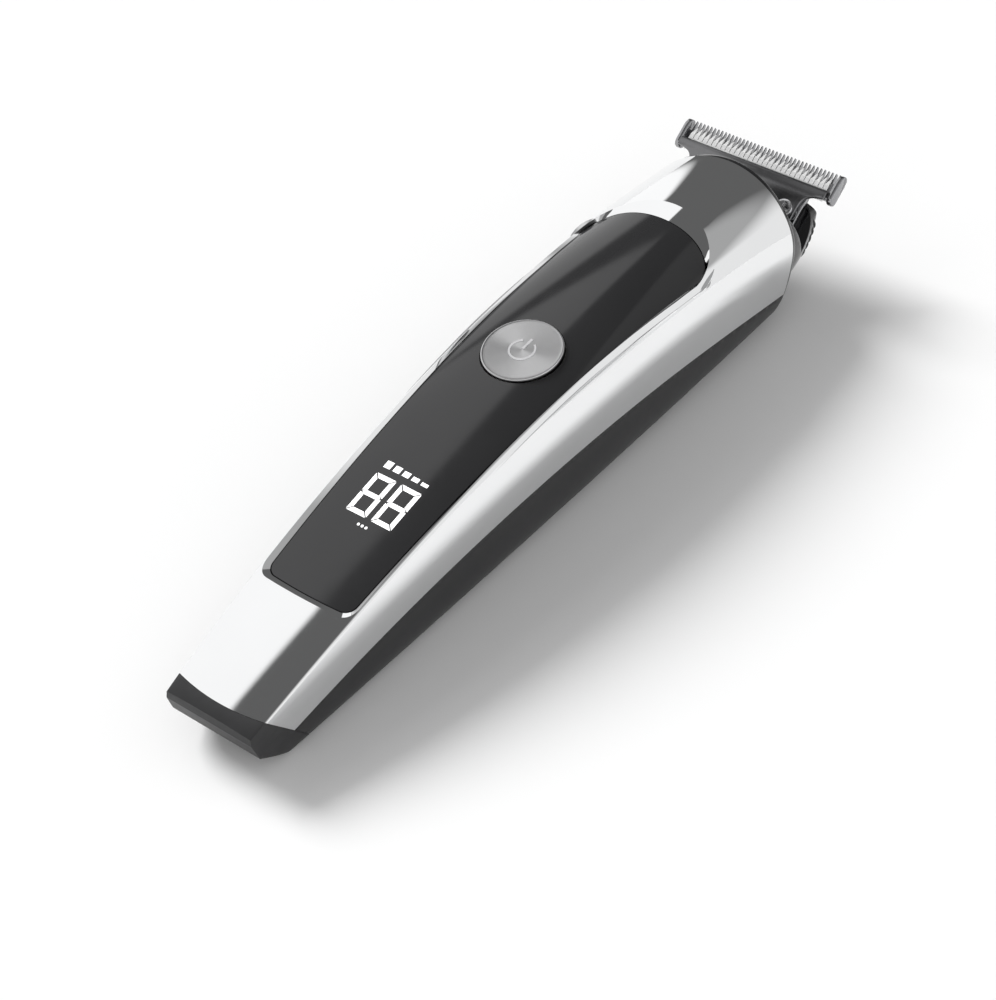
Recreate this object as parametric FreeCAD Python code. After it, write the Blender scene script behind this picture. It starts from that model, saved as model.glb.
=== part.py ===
import FreeCAD, Part
import math
import os

V = FreeCAD.Vector

# Cordless hair clipper lying on its back, millimetres.
# +X runs from the tail to the cutting head, +Z out of the front, +Y to its left.
# The origin is the centre of the outline, on the surface that the back rests on.
# "u" is the distance along X from the end of the tail.

# ---- driving dimensions -------------------------------------------------
length = 168.6            # tail end to the foremost edge of the teeth
tip_height = 22.3         # tooth tips above the back
front_peak_height = 28.9  # thickest place of the body
front_peak_from_tips = 46.3
tail_seam = 2.9           # where the tail cap meets the front cover
tail_front_height = 12.0
tail_seam_lean = -0.765   # seam advance along X per unit of height
tail_bow_radius = 55.0
head_seam_from_tips = 13.9    # top of the slanted seam at the cutting head
head_seam_height = 27.2
head_seam_lean = 0.3765

crease_half_tail = 10.0   # half-width between the creases of the front face
crease_half_gain = 5.2
body_half_tail = 10.4     # greatest half-width
body_half_gain = 7.9
crown_tail = 0.3          # height of the front face above its creases
crown_gain = 7.3
belt_tail = 5.5           # height of the greatest width
belt_gain = 8.0
back_half_tail = 8.0      # half-width of the flat back
back_half_gain = 2.5
flank_boxiness = 0.72     # 0 is a straight chamfer under the belt, 1 a square corner
back_skim = 0.15          # planed off the back, which leaves it flat
section_end_from_tips = 8.6   # where the section rules reach their head values

wall = 2.0
seat_gap = 0.1            # between a part and what it is set down on
parting_peak = 13.45      # seam between front and rear covers, one long arc
parting_peak_from_tips = 88.0
parting_tail_height = 3.55
parting_gap = 0.12

panel_start = 27.0
panel_end_from_tips = 35.6
panel_half_tail = 9.9
panel_half_head = 14.2
panel_corner = 2.5
panel_shoulder = 8.5      # length of the rounded end at the head
panel_foot_bow = 0.3
panel_inset = 0.6
panel_thickness = 1.2
panel_fit = 0.15
panel_prism_foot = 8.0    # height from which the panel's opening is cut
ledge_thickness = 1.2
ledge_width = 1.3
ledge_above_parting = 3.0

button_from_tips = 79.1
button_radius = 7.85
button_proud = 0.45
button_depth = 1.0
button_gap = 0.2
button_travel = 0.4
button_rim = 0.3          # chamfer round the cap
plunger_depth = 2.3
plunger_step = 1.4        # the plunger is this much narrower than the cap
flange_depth = 2.9
flange_overhang = 1.0
stem_depth = 3.7
stem_end = 5.4
stem_radius = 1.4
switch_top = 4.3

board_below_button = 6.3  # circuit board's top face under the button's seat
board_below_display = 4.6 # and under the front face at the display
board_start = 34.0
board_past_button = 14.5
board_half = 8.6
board_thickness = 1.2
board_screw_reach = 4.2
board_screw_radius = 0.95
board_screw_inset = 3.0   # from the board's head end

display_after_panel = 14.0
display_length = 14.5
display_half = 7.4
display_depth = 2.4
digit_after_display = 3.6
digit_width = 4.4
digit_height = 9.0
digit_offset = 2.9
stroke_width = 0.9
stroke_gap = 0.25

battery_radius = 7.1
battery_length = 50.0
battery_to_motor = 2.6
battery_lift = 0.35       # floor of the chassis under the cell
cradle_fit = 0.2

motor_width = 23.8
motor_height = 18.3
motor_length = 25.0
motor_from_tips = 54.0
endcap_thickness = 2.0
can_wall = 1.0
motor_boss_radius = 3.2
motor_screw_y = 7.5
motor_fit = 0.15
mount_thickness = 1.6
armature_radius = 6.6
armature_length = 14.0
armature_after_endcap = 3.5
shaft_fit = 0.05
drive_height = 13.0       # height of the motor's axis
shaft_radius = 1.0
cam_radius = 3.6
cam_length = 4.6
cam_after_motor = 3.8
shaft_grip = 3.6          # depth of the shaft in the cam
pin_radius = 0.8
eccentricity = 0.8
pin_length = 5.2
slot_clearance = 0.05

socket_half = 10.6        # opening that the head plugs into
socket_low = 6.2
socket_high = 20.4
socket_fit = 0.2
socket_depth = 6.0
socket_wall = 1.6
spigot_length = 3.8
head_gap = 0.3            # between the body's rim and the head
cavity_half = 8.8         # space for the drive inside the head
cavity_wall = 1.6

blade_tilt = math.radians(30.0)
blade_half = 19.0
end_tooth = 1.2           # width of the guard at each end of the teeth
blade_thickness = 1.2
blade_heel = -5.8         # back edge of the wide part, measured from the tips
tooth_root = -2.4
blade_tail = -13.2
arm_half = 2.2
blade_screw_along = -11.2
blade_screw_y = 11.2
blade_hole_radius = 1.2
cutter_thickness = 0.8
cutter_gap = 0.05
cutter_setback = 1.4
cutter_side_gap = 0.15
plate_gap = 0.45
plate_thickness = 0.8
plate_top = -4.4
plate_shoulder = -6.4
plate_neck_half = 13.4
stroke = eccentricity
fixed_teeth = 40
moving_teeth = 30

inlet_radius = 3.3        # hole in the tail cap for the sleeve of a 5.5 mm barrel plug
jack_bore = 2.8
jack_body = 3.6
jack_depth = 6.6          # from the mouth of the hole to the jack's closed end
jack_setback = 2.1
jack_pin_radius = 0.65
jack_at = 5.2

screw_radius = 1.1
screw_head_radius = 1.9
screw_head_height = 1.4
screw_head_depth = 4.0    # screw seat below the joint of its two posts
screw_pilot_depth = 6.5
boss_wall = 1.3
post_wall = 1.7
post_clearance = 0.15     # round the posts that hold the casing screws
tail_screws = (21.0, 6.0, 7.0)        # u, y and the height where the posts meet
middle_screw_clearance = 0.36 # between the middle bosses and the side wall
middle_screw_join = 9.0
middle_screws_to_motor = 3.6
slot_half = 0.25          # drive slots in the screw heads
slot_reach = 1.3

# ---- places that follow from them ---------------------------------------
half_length = length / 2
tips = length - blade_thickness * math.sin(blade_tilt)
peak_at = length - front_peak_from_tips
head_seam = length - head_seam_from_tips
section_end = length - section_end_from_tips
panel_end = length - panel_end_from_tips
parting_peak_at = length - parting_peak_from_tips
button_at = length - button_from_tips
motor_start = length - motor_from_tips
motor_end = motor_start + motor_length
cam_start = motor_end + cam_after_motor
battery_start = motor_start - battery_to_motor - battery_length
battery_height = wall + battery_lift + battery_radius
board_end = button_at + board_past_button
display_start = panel_start + display_after_panel
display_end = display_start + display_length
front_bend = (front_peak_height - tail_front_height) / (peak_at - tail_seam) ** 2
cutter_half = blade_half - end_tooth - stroke - cutter_side_gap
plate_low = cutter_gap + cutter_thickness + plate_gap
plate_high = plate_low + plate_thickness
board_screw_y = battery_radius - 0.5
board_screw_spots = [(battery_start + 4.0, board_screw_y), (board_end - board_screw_inset, -board_screw_y)]


# ---- helpers ------------------------------------------------------------
def X(u):
    return u - half_length


def block(u0, u1, y0, y1, z0, z1):
    return Part.makeBox(u1 - u0, y1 - y0, z1 - z0, V(X(u0), y0, z0))


def rod(start, end, radius):
    axis = end - start
    return Part.makeCylinder(radius, axis.Length, start, axis)


def prism_y(points, y0, y1):
    """A closed outline of (u, z) points, extruded along Y."""
    corners = [V(X(u), y0, z) for u, z in points]
    face = Part.Face(Part.makePolygon(corners + corners[:1]))
    return face.extrude(V(0, y1 - y0, 0))


def fuse(shapes):
    whole = shapes[0].fuse(shapes[1:]) if len(shapes) > 1 else shapes[0]
    return whole.removeSplitter()


def export(name, shape):
    shape.exportStep("parts/" + name + ".step")
    solids = shape.Solids
    print(name, len(solids), round(shape.Volume, 2), shape.isValid())


# ---- the body's shape ---------------------------------------------------
def front_height(u):
    return front_peak_height - front_bend * (u - peak_at) ** 2


def rules(u):
    t = min(max(u / section_end, 0.0), 1.0)
    crown = crown_tail + crown_gain * t ** 3
    return {
        "crown": crown,
        "crease": crease_half_tail + crease_half_gain * t ** 0.75,
        "belt_half": body_half_tail + body_half_gain * (1 - (1 - t) ** 1.5),
        "belt": belt_tail + belt_gain * t,
        "back_half": back_half_tail + back_half_gain * t,
        "shoulder": math.radians(84 - 34 * math.sin(math.pi / 2 * t)),
        "top": front_height(u),
    }


middle_screw_at = motor_start - middle_screws_to_motor
boss_radius = screw_radius + boss_wall
middle_screw_y = rules(middle_screw_at)["belt_half"] - wall - boss_radius - middle_screw_clearance
screw_spots = [tail_screws, (tail_screws[0], -tail_screws[1], tail_screws[2]),
               (middle_screw_at, middle_screw_y, middle_screw_join),
               (middle_screw_at, -middle_screw_y, middle_screw_join)]


def section(u, inset):
    """Outline of the body square to X: crown, two shoulders, two flanks and the flat back."""
    r = rules(u)
    top = r["top"] - inset
    crease = V(X(u), r["crease"] - inset, top - r["crown"])
    belt = V(X(u), r["belt_half"] - inset, r["belt"])
    back = V(X(u), min(r["back_half"], r["belt_half"] - inset - 1.5), inset - back_skim)
    reach = 0.38 * (crease - belt).Length
    slope = r["shoulder"]
    shoulder_in = crease + V(0, reach * math.cos(slope), -reach * math.sin(slope))
    belt_in = belt + V(0, 0, reach)
    belt_out = belt - V(0, 0, flank_boxiness * (belt.z - back.z))
    back_in = back + V(0, flank_boxiness * (belt.y - back.y), 0)
    lift = V(0, 0, r["crown"] * 4 / 3)

    def other(p):
        return V(p.x, -p.y, p.z)

    def curve(*poles):
        bezier = Part.BezierCurve()
        bezier.setPoles(list(poles))
        return bezier.toShape()

    crown_in = V(X(u), crease.y / 2, crease.z) + lift
    edges = [
        curve(other(crease), other(crown_in), crown_in, crease),
        curve(crease, shoulder_in, belt_in, belt),
        curve(belt, belt_out, back_in, back),
        Part.makeLine(back, other(back)),
        curve(other(back), other(back_in), other(belt_out), other(belt)),
        curve(other(belt), other(belt_in), other(shoulder_in), other(crease)),
    ]
    return Part.Wire(edges)


def body_form(inset):
    shares = [0.0, 0.1375, 0.3, 0.475, 0.65, 0.825, 1.0]
    wires = [section(share * section_end, inset) for share in shares]
    return Part.makeLoft(wires, True, False)


def seam_u(z):
    return head_seam + head_seam_lean * (z - head_seam_height)


def beyond_head_seam(offset):
    """Everything on the head's side of the slanted seam, moved along X by offset."""
    low, high = -20.0, 60.0
    return prism_y([(seam_u(low) + offset, low), (seam_u(low) + 80, low),
                    (seam_u(high) + 80, high), (seam_u(high) + offset, high)], -40, 40)


def beyond_tail_seam(offset):
    """Everything behind the bowed, slanted tail seam, moved along X by offset."""
    slant = V(tail_seam_lean, 0, 1)
    slant.normalize()
    square = V(slant.z, 0, -slant.x)
    seam_point = V(X(tail_seam + offset), 0, tail_front_height)
    centre = seam_point + square * tail_bow_radius
    drum = Part.makeCylinder(tail_bow_radius, 120, centre - slant * 60, slant)
    slab = Part.makeBox(30, 60, 120, V(-25, -30, -60))
    turn = FreeCAD.Rotation(V(0, 0, 1), slant)
    slab.Placement = FreeCAD.Placement(seam_point, turn)
    return slab.cut(drum)


def above_parting(offset):
    """Everything above the long parting arc, raised by offset."""
    tail_drop = parting_peak - parting_tail_height
    radius = (parting_peak_at ** 2 + tail_drop ** 2) / (2 * tail_drop)
    reach = parting_peak_at + 20
    drop = radius - math.sqrt(radius ** 2 - reach ** 2)
    crest = V(X(parting_peak_at), -40, parting_peak + offset)
    left = crest - V(reach, 0, drop)
    right = crest + V(reach, 0, -drop)
    lift = V(0, 0, 60)
    edges = [Part.Arc(left, crest, right).toShape(), Part.makeLine(right, right + lift),
             Part.makeLine(right + lift, left + lift), Part.makeLine(left + lift, left)]
    return Part.Face(Part.Wire(edges)).extrude(V(0, 80, 0))


def panel_prism(grow):
    """The panel's outline seen from the front, grown all round, as a prism over the upper half."""
    start = X(panel_start - grow)
    end = X(panel_end + grow)
    tail_half = panel_half_tail + grow
    head_half = panel_half_head + grow
    corner = panel_corner
    side_end = end - panel_shoulder

    def p(x, y):
        return V(x, y, panel_prism_foot)

    edges = []
    for side in (1, -1):
        tail_corner = Part.Arc(p(start + panel_foot_bow, side * (tail_half - corner)),
                               p(start + corner * 0.45, side * (tail_half - corner * 0.22)),
                               p(start + corner * 1.15, side * tail_half)).toShape()
        flank = Part.makeLine(p(start + corner * 1.15, side * tail_half), p(side_end, side * head_half))
        turn = Part.BezierCurve()
        turn.setPoles([p(side_end, side * head_half), p(end - 2.8, side * (head_half + 0.2)),
                       p(end, side * head_half * 0.62), p(end, 0)])
        edges += [tail_corner, flank, turn.toShape()]
    foot = Part.Arc(p(start + panel_foot_bow, tail_half - corner), p(start, 0),
                    p(start + panel_foot_bow, corner - tail_half)).toShape()
    outline = Part.Wire(Part.__sortEdges__(edges + [foot]))
    return Part.Face(outline).extrude(V(0, 0, 60))


# ---- casings ------------------------------------------------------------
outer = body_form(0.0).common(block(-20, 200, -40, 40, 0, 60))
inner = body_form(wall + back_skim / 2)
panel_top_form = body_form(panel_inset)
panel_under_form = body_form(panel_inset + panel_thickness)
ledge_top_form = body_form(panel_inset + panel_thickness + seat_gap)
ledge_under_form = body_form(panel_inset + panel_thickness + ledge_thickness)
inner_fit = body_form(wall + back_skim + seat_gap)


def upright(u, y, z0, z1, radius):
    return rod(V(X(u), y, z0), V(X(u), y, z1), radius)


def front_cover():
    skin = outer.cut(inner)
    skin = skin.common(above_parting(parting_gap / 2))
    skin = skin.cut(beyond_head_seam(0)).cut(beyond_tail_seam(0))
    skin = skin.cut(panel_prism(panel_fit))
    ring = ledge_top_form.cut(ledge_under_form)
    ring = ring.common(panel_prism(ledge_width)).cut(panel_prism(-ledge_width))
    ring = ring.common(above_parting(ledge_above_parting))
    bosses = []
    for u, y, join in screw_spots:
        post = upright(u, y, join, front_peak_height + 1, boss_radius)
        bosses.append(post.common(ledge_top_form))
    whole = fuse([skin, ring] + bosses)
    for u, y, join in screw_spots:
        whole = whole.cut(upright(u, y, join - 1, join + screw_pilot_depth, screw_radius + 0.05))
    return whole


def rear_cover():
    skin = outer.cut(inner)
    skin = skin.cut(above_parting(-parting_gap / 2))
    skin = skin.cut(beyond_head_seam(0)).cut(beyond_tail_seam(0))
    posts = [upright(u, y, 0, join, screw_radius + post_wall).common(outer) for u, y, join in screw_spots]
    whole = fuse([skin] + posts)
    for u, y, join in screw_spots:
        whole = whole.cut(upright(u, y, -1, join + 1, screw_radius + 0.1))
        whole = whole.cut(upright(u, y, -1, join - screw_head_depth, screw_head_radius + 0.15))
    return whole


def housing_screws():
    screws = []
    for u, y, join in screw_spots:
        seat = join - screw_head_depth
        face = seat - screw_head_height
        head = upright(u, y, face, seat, screw_head_radius)
        shank = upright(u, y, seat - 0.1, join + screw_pilot_depth - 0.5, screw_radius)
        slot = block(u - slot_reach, u + slot_reach, y - slot_half, y + slot_half, face - 0.1, face + 0.6)
        cross = block(u - slot_half, u + slot_half, y - slot_reach, y + slot_reach, face - 0.1, face + 0.6)
        screws.append(head.fuse(shank).removeSplitter().cut(slot).cut(cross))
    return Part.makeCompound(screws)


# ---- tail ---------------------------------------------------------------
facet_top = (0.9, 5.8)       # u and z where the sloping underside of the tail begins
facet_end = (10.0, -0.6)
facet_run = V(facet_end[0] - facet_top[0], 0, facet_end[1] - facet_top[1])
facet_run.normalize()
inlet_in = V(-facet_run.z, 0, facet_run.x)
inlet_mouth = V(X(jack_at), 0, facet_top[1] + (jack_at - facet_top[0]) * facet_run.z / facet_run.x)


def tail_profile(back_off):
    """Side outline of the tail's end, moved inwards by back_off."""
    b = back_off
    return [(0.3 + b, 40.0), (0.3 + b, 11.0 - b), (b, 9.6), (facet_top[0] + b, facet_top[1] + b * 0.4),
            (facet_end[0] + b, facet_end[1] + b * 0.4), (40.0, facet_end[1] + b * 0.4), (40.0, 40.0)]


def tail_cap():
    cap = outer.common(beyond_tail_seam(-seat_gap)).common(prism_y(tail_profile(0), -30, 30))
    hollow = inner.common(prism_y(tail_profile(wall - 0.2), -30, 30))
    cap = cap.cut(hollow)
    hole = rod(inlet_mouth - inlet_in * 5, inlet_mouth + inlet_in * 5, inlet_radius)
    return cap.cut(hole)


def dc_jack():
    start = inlet_mouth + inlet_in * jack_setback
    end = inlet_mouth + inlet_in * jack_depth
    body = rod(start, end, jack_body)
    bore = rod(start - inlet_in, end - inlet_in * 1.2, jack_bore)
    pin = rod(start + inlet_in * 1.0, end - inlet_in * 1.0, jack_pin_radius)
    return fuse([body.cut(bore), pin])


# ---- front panel, display and button ------------------------------------
button_slope = math.atan(-2 * front_bend * (button_at - peak_at))
button_out = V(-math.sin(button_slope), 0, math.cos(button_slope))
button_seat = V(X(button_at), 0, front_height(button_at) - panel_inset)


def on_button(height):
    return button_seat + button_out * height


def display_panel():
    sheet = panel_top_form.cut(panel_under_form).common(panel_prism(0))
    return sheet.cut(rod(on_button(-6), on_button(6), button_radius + button_gap))


def power_button():
    disc = rod(on_button(-button_depth), on_button(button_proud), button_radius)
    rim = [e for e in disc.Edges if e.BoundBox.ZMax > disc.BoundBox.ZMax - 0.1 and e.Closed]
    return disc.makeChamfer(button_rim, rim[:1])


def button_plunger():
    disc = rod(on_button(-plunger_depth), on_button(-button_depth), button_radius - plunger_step)
    flange = rod(on_button(-flange_depth), on_button(-plunger_depth), button_radius + flange_overhang)
    stem = rod(on_button(-stem_depth), on_button(-flange_depth), stem_radius + 0.1)
    return fuse([disc, flange, stem])


def switch_stem():
    return rod(on_button(-stem_end), on_button(-stem_depth), stem_radius)


board_height = button_seat.z - board_below_button
board_fall = board_height - (front_height(display_start) - board_below_display)
board_slope = math.atan(board_fall / (button_at - display_start))
board_up = V(-math.sin(board_slope), 0, math.cos(board_slope))


def on_board(u, y, height):
    """A point above the circuit board's top face."""
    along = V(math.cos(board_slope), 0, math.sin(board_slope))
    return V(X(button_at), y, board_height) + along * (u - button_at) + board_up * height


def board_block(u0, u1, y0, y1, h0, h1):
    piece = Part.makeBox(u1 - u0, y1 - y0, h1 - h0)
    turn = FreeCAD.Rotation(V(0, 1, 0), -math.degrees(board_slope))
    piece.Placement = FreeCAD.Placement(on_board(u0, y0, h0), turn)
    return piece


def tact_switch():
    half = 3.1
    top = (on_button(-switch_top) - on_board(button_at, 0, 0)).dot(board_up)
    body = board_block(button_at - half, button_at + half, -half, half, 0, top)
    return body.cut(rod(on_button(-stem_end - 2 * button_travel), on_button(0), stem_radius + 0.1))


def circuit_board():
    board = board_block(board_start, board_end, -board_half, board_half, -board_thickness, 0)
    for u, y in board_screw_spots:
        board = board.cut(rod(on_board(u, y, -3), on_board(u, y, 3), board_screw_radius + 0.25))
    return board


def board_screws():
    screws = []
    for u, y in board_screw_spots:
        head = rod(on_board(u, y, 0), on_board(u, y, 1.1), 1.8)
        shank = rod(on_board(u, y, -board_screw_reach), on_board(u, y, 0), board_screw_radius)
        screws.append(fuse([head, shank]))
    return Part.makeCompound(screws)


def circuit_chips():
    """A square controller and a small charging chip between the display and the switch."""
    controller = board_block(button_at - 19.5, button_at - 14.5, -2.0, 3.0, 0, 1.0)
    charger = board_block(button_at - 11.0, button_at - 8.0, -5.6, -2.6, 0, 0.9)
    return Part.makeCompound([controller, charger])


def display_module():
    return board_block(display_start, display_end, -display_half, display_half, 0, display_depth)


def bar(u0, u1, y0, y1):
    """A light guide from the display module up to just under the panel."""
    return board_block(u0, u1, y0, y1, display_depth, display_depth + 6).common(ledge_top_form)


def display_digits():
    """Seven bars for each of two digits."""
    guides = []
    start = display_start + digit_after_display
    end = start + digit_height
    middle = start + digit_height / 2
    for centre in (digit_offset, -digit_offset):
        left = centre - digit_width / 2
        right = centre + digit_width / 2
        inner_left = left + stroke_width + stroke_gap
        inner_right = right - stroke_width - stroke_gap
        for u in (start, middle - stroke_width / 2, end - stroke_width):
            guides.append(bar(u, u + stroke_width, inner_left, inner_right))
        for y in (left, right - stroke_width):
            guides.append(bar(start + stroke_gap, middle - stroke_gap, y, y + stroke_width))
            guides.append(bar(middle + stroke_gap, end - stroke_gap, y, y + stroke_width))
    return Part.makeCompound(guides)


# ---- power and drive ----------------------------------------------------
def battery_cell():
    can = rod(V(X(battery_start), 0, battery_height),
              V(X(battery_start + battery_length), 0, battery_height), battery_radius)
    nub = rod(V(X(battery_start - 0.8), 0, battery_height), V(X(battery_start), 0, battery_height), 2.5)
    return fuse([can, nub])


def battery_tabs():
    front = block(battery_start - 1.1, battery_start - 0.8, -3, 3, battery_height - 3, battery_height + 3)
    end = battery_start + battery_length
    back = block(end, end + 0.3, -3, 3, battery_height - 3, battery_height + 3)
    return Part.makeCompound([front, back])


def chassis():
    """Cradle for the battery, with posts that carry the circuit board."""
    start = battery_start - 2.0
    end = battery_start + battery_length + 1.4
    half = battery_radius + 2.1
    cradle = block(start, end, -half, half, wall, battery_height - 0.5)
    trough = rod(V(X(start - 1), 0, battery_height), V(X(end + 1), 0, battery_height),
                 battery_radius + cradle_fit)
    shelf_under = battery_height + 6.15
    posts = []
    for u, y in board_screw_spots:
        out = abs(y)
        post = block(u - 2.2, u + 2.2, out + 1.1, out + 3.5, wall, front_peak_height)
        shelf = block(u - 2.2, u + 2.2, out - 2.0, out + 3.5, shelf_under, front_peak_height)
        bracket = fuse([post, shelf])
        if y < 0:
            bracket = bracket.mirror(V(0, 0, 0), V(0, 1, 0))
        posts.append(bracket)
    under_board = board_block(20, length, -20, 20, -30, -board_thickness)
    whole = fuse([cradle] + [p.common(under_board) for p in posts])
    whole = whole.common(inner_fit).cut(trough)
    for u, y, join in screw_spots:
        whole = whole.cut(upright(u, y, -1, front_peak_height, screw_radius + post_wall + post_clearance))
    for u, y in board_screw_spots:
        whole = whole.cut(rod(on_board(u, y, -board_screw_reach - 0.4), on_board(u, y, 0),
                              board_screw_radius + 0.05))
    return whole


def on_drive(u0, u1, radius, y=0.0):
    """A rod along the motor's axis, or beside it."""
    return rod(V(X(u0), y, drive_height), V(X(u1), y, drive_height), radius)


def motor_form(u0, u1, shrink):
    barrel = rod(V(X(u0), 0, drive_height), V(X(u1), 0, drive_height), motor_width / 2 - shrink)
    flats = block(u0, u1, -20, 20, drive_height - motor_height / 2 + shrink,
                  drive_height + motor_height / 2 - shrink)
    return barrel.common(flats)


def motor_can():
    can = motor_form(motor_start + endcap_thickness, motor_end, 0)
    can = can.cut(motor_form(motor_start, motor_end - can_wall, can_wall))
    boss = on_drive(motor_end - can_wall - 1.0, motor_end + 1.0, motor_boss_radius)
    can = fuse([can, boss])
    can = can.cut(on_drive(motor_start, motor_end + 2, shaft_radius + shaft_fit))
    for y in (-motor_screw_y, motor_screw_y):
        can = can.cut(on_drive(motor_end - 1.2, motor_end + 1, 0.95, y))
    return can


def motor_magnets():
    """Two curved magnets in the wide sides of the can, round the armature."""
    start = motor_start + endcap_thickness + armature_after_endcap
    ring = on_drive(start, start + armature_length, motor_width / 2 - can_wall - 0.05)
    ring = ring.cut(on_drive(start - 1, start + armature_length + 1, armature_radius + 0.4))
    left = block(start - 1, start + armature_length + 1, 1.0, 20, drive_height - 5.5, drive_height + 5.5)
    right = block(start - 1, start + armature_length + 1, -20, -1.0, drive_height - 5.5, drive_height + 5.5)
    return Part.makeCompound([ring.common(left), ring.common(right)])


def motor_armature():
    """Three-pole core with its windings between the poles."""
    start = motor_start + endcap_thickness + armature_after_endcap
    core = on_drive(start, start + armature_length, armature_radius)
    for i in range(3):
        angle = math.radians(120 * i + 60)
        y = armature_radius * math.cos(angle)
        z = drive_height + armature_radius * math.sin(angle)
        core = core.cut(rod(V(X(start - 1), y, z), V(X(start + armature_length + 1), y, z), 1.6))
    collar = on_drive(start - 3.0, start, 2.4)
    return fuse([core, collar]).cut(on_drive(motor_start, motor_end, shaft_radius))


def motor_endcap():
    cap = motor_form(motor_start, motor_start + endcap_thickness, 0.4)
    return cap.cut(on_drive(motor_start - 1, motor_start + 3, shaft_radius + shaft_fit))


def motor_terminals():
    tabs = []
    for y in (-6.0, 6.0):
        tabs.append(block(motor_start - 1.6, motor_start, y - 1.0, y + 1.0,
                          drive_height - 0.3, drive_height + 0.3))
    return Part.makeCompound(tabs)


def motor_shaft():
    return on_drive(motor_start + 0.5, cam_start + shaft_grip, shaft_radius)


def eccentric_cam():
    cam = on_drive(cam_start, cam_start + cam_length, cam_radius)
    return cam.cut(on_drive(cam_start - 1, cam_start + shaft_grip, shaft_radius))


def drive_pin():
    start = V(X(cam_start + cam_length), 0, drive_height + eccentricity)
    return rod(start, start + V(pin_length, 0, 0), pin_radius)


def motor_mount():
    """Yoke-shaped bracket that holds the motor by its front face, on the floor of the rear cover."""
    half = motor_width / 2 + 1.4
    bracket = block(motor_start + 3, motor_end + mount_thickness, -half, half, wall, drive_height + 4.2)
    pocket = motor_form(motor_start - 1, motor_end, -motor_fit)
    above = block(motor_start, motor_end, -motor_width / 2 - motor_fit, motor_width / 2 + motor_fit,
                  drive_height, drive_height + 12)
    bracket = bracket.cut(pocket).cut(above)
    bracket = bracket.cut(on_drive(motor_end - 1, motor_end + 3, motor_boss_radius + 0.1))
    for u, y, join in screw_spots:
        bracket = bracket.cut(upright(u, y, -1, front_peak_height, screw_radius + post_wall + 2 * post_clearance))
    for y in (-motor_screw_y, motor_screw_y):
        bracket = bracket.cut(on_drive(motor_end - 1, motor_end + 3, 0.95, y))
    return bracket.common(inner_fit)


def motor_screws():
    screws = []
    for y in (-motor_screw_y, motor_screw_y):
        face = motor_end + mount_thickness
        head = on_drive(face, face + 1.0, 1.6, y)
        shank = on_drive(motor_end - 1.0, face, 0.85, y)
        screws.append(fuse([head, shank]))
    return Part.makeCompound(screws)


# ---- cutting head -------------------------------------------------------
def head_socket():
    """Bulkhead that closes the body at the head, with the opening that the head plugs into."""
    plate = inner_fit.cut(beyond_head_seam(-0.4))
    plate = plate.common(beyond_head_seam(-2.6))
    low = seam_u(socket_low) - 1.5
    sleeve = block(low - socket_depth + 2.8, low + 1.5, -socket_half - socket_wall, socket_half + socket_wall,
                   socket_low - socket_wall, socket_high + socket_wall)
    whole = fuse([plate, sleeve.common(inner_fit).cut(beyond_head_seam(-0.4))])
    opening = block(low - 20, length, -socket_half, socket_half, socket_low, socket_high)
    return whole.cut(opening)


def head_section(u, half, low, high):
    """Boxy oval outline of the head, square to X."""
    middle = (low + high) / 2
    rise = (high - low) / 2
    corner = 0.62
    points = [V(X(u), half, middle), V(X(u), 0, high), V(X(u), -half, middle), V(X(u), 0, low)]
    edges = []
    for i, a in enumerate(points):
        b = points[(i + 1) % 4]
        centre = V(X(u), 0, middle)
        pull_a = b - centre
        pull_b = a - centre
        bezier = Part.BezierCurve()
        bezier.setPoles([a, a + pull_a * corner, b + pull_b * corner, b])
        edges.append(bezier.toShape())
    return Part.Wire(edges)


def blade_point(along, above):
    """A (u, z) point measured back from the tooth tips and out of the fixed blade's face."""
    u = tips + along * math.cos(blade_tilt) - above * math.sin(blade_tilt)
    z = tip_height + along * math.sin(blade_tilt) + above * math.cos(blade_tilt)
    return (u, z)


def blade_slab(s0, s1, n0, n1, y0, y1):
    corners = [blade_point(s0, n0), blade_point(s1, n0), blade_point(s1, n1), blade_point(s0, n1)]
    return prism_y(corners, y0, y1)


def head_housing():
    """Plastic head that tapers from the body's rim to the blades, with the spigot that plugs in."""
    rim_top = front_height(head_seam)
    stations = [(length - 30.6, 17.9, 0.4, rim_top - 0.1), (length - 22.6, 17.9, 0.6, rim_top - 0.5),
                (length - 16.6, 17.7, 2.4, rim_top - 2.5), (length - 11.6, 17.0, 6.0, rim_top - 5.7),
                (length - 6.1, 15.3, 12.6, rim_top - 9.1)]
    form = Part.makeLoft([head_section(*s) for s in stations], True, False)
    form = form.common(beyond_head_seam(head_gap))
    spigot_half = socket_half - socket_fit
    spigot = block(seam_u(socket_low) - spigot_length, seam_u(socket_high) + 1, -spigot_half, spigot_half,
                   socket_low + socket_fit, socket_high - socket_fit)
    form = fuse([form, spigot])
    over_blade = blade_slab(6, -40, -blade_thickness, 30, -30, 30)
    form = form.cut(over_blade.common(block(head_seam - 1.0, length + 20, -30, 30, 0, 60)))
    cavity = block(head_seam - 25, length - 10.1, -cavity_half, cavity_half,
                   socket_low + cavity_wall, socket_high - cavity_wall)
    mouth = blade_slab(blade_heel + 0.2, -14.0, -7.0, 6, -cavity_half, cavity_half)
    form = form.cut(cavity).cut(mouth)
    for y in (-blade_screw_y, blade_screw_y):
        form = form.cut(blade_rod(blade_screw_along, y, -7.0, 3.0, 0.95))
    return form


def blade_rod(along, y, n0, n1, radius):
    u0, z0 = blade_point(along, n0)
    u1, z1 = blade_point(along, n1)
    return rod(V(X(u0), y, z0), V(X(u1), y, z1), radius)


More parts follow.
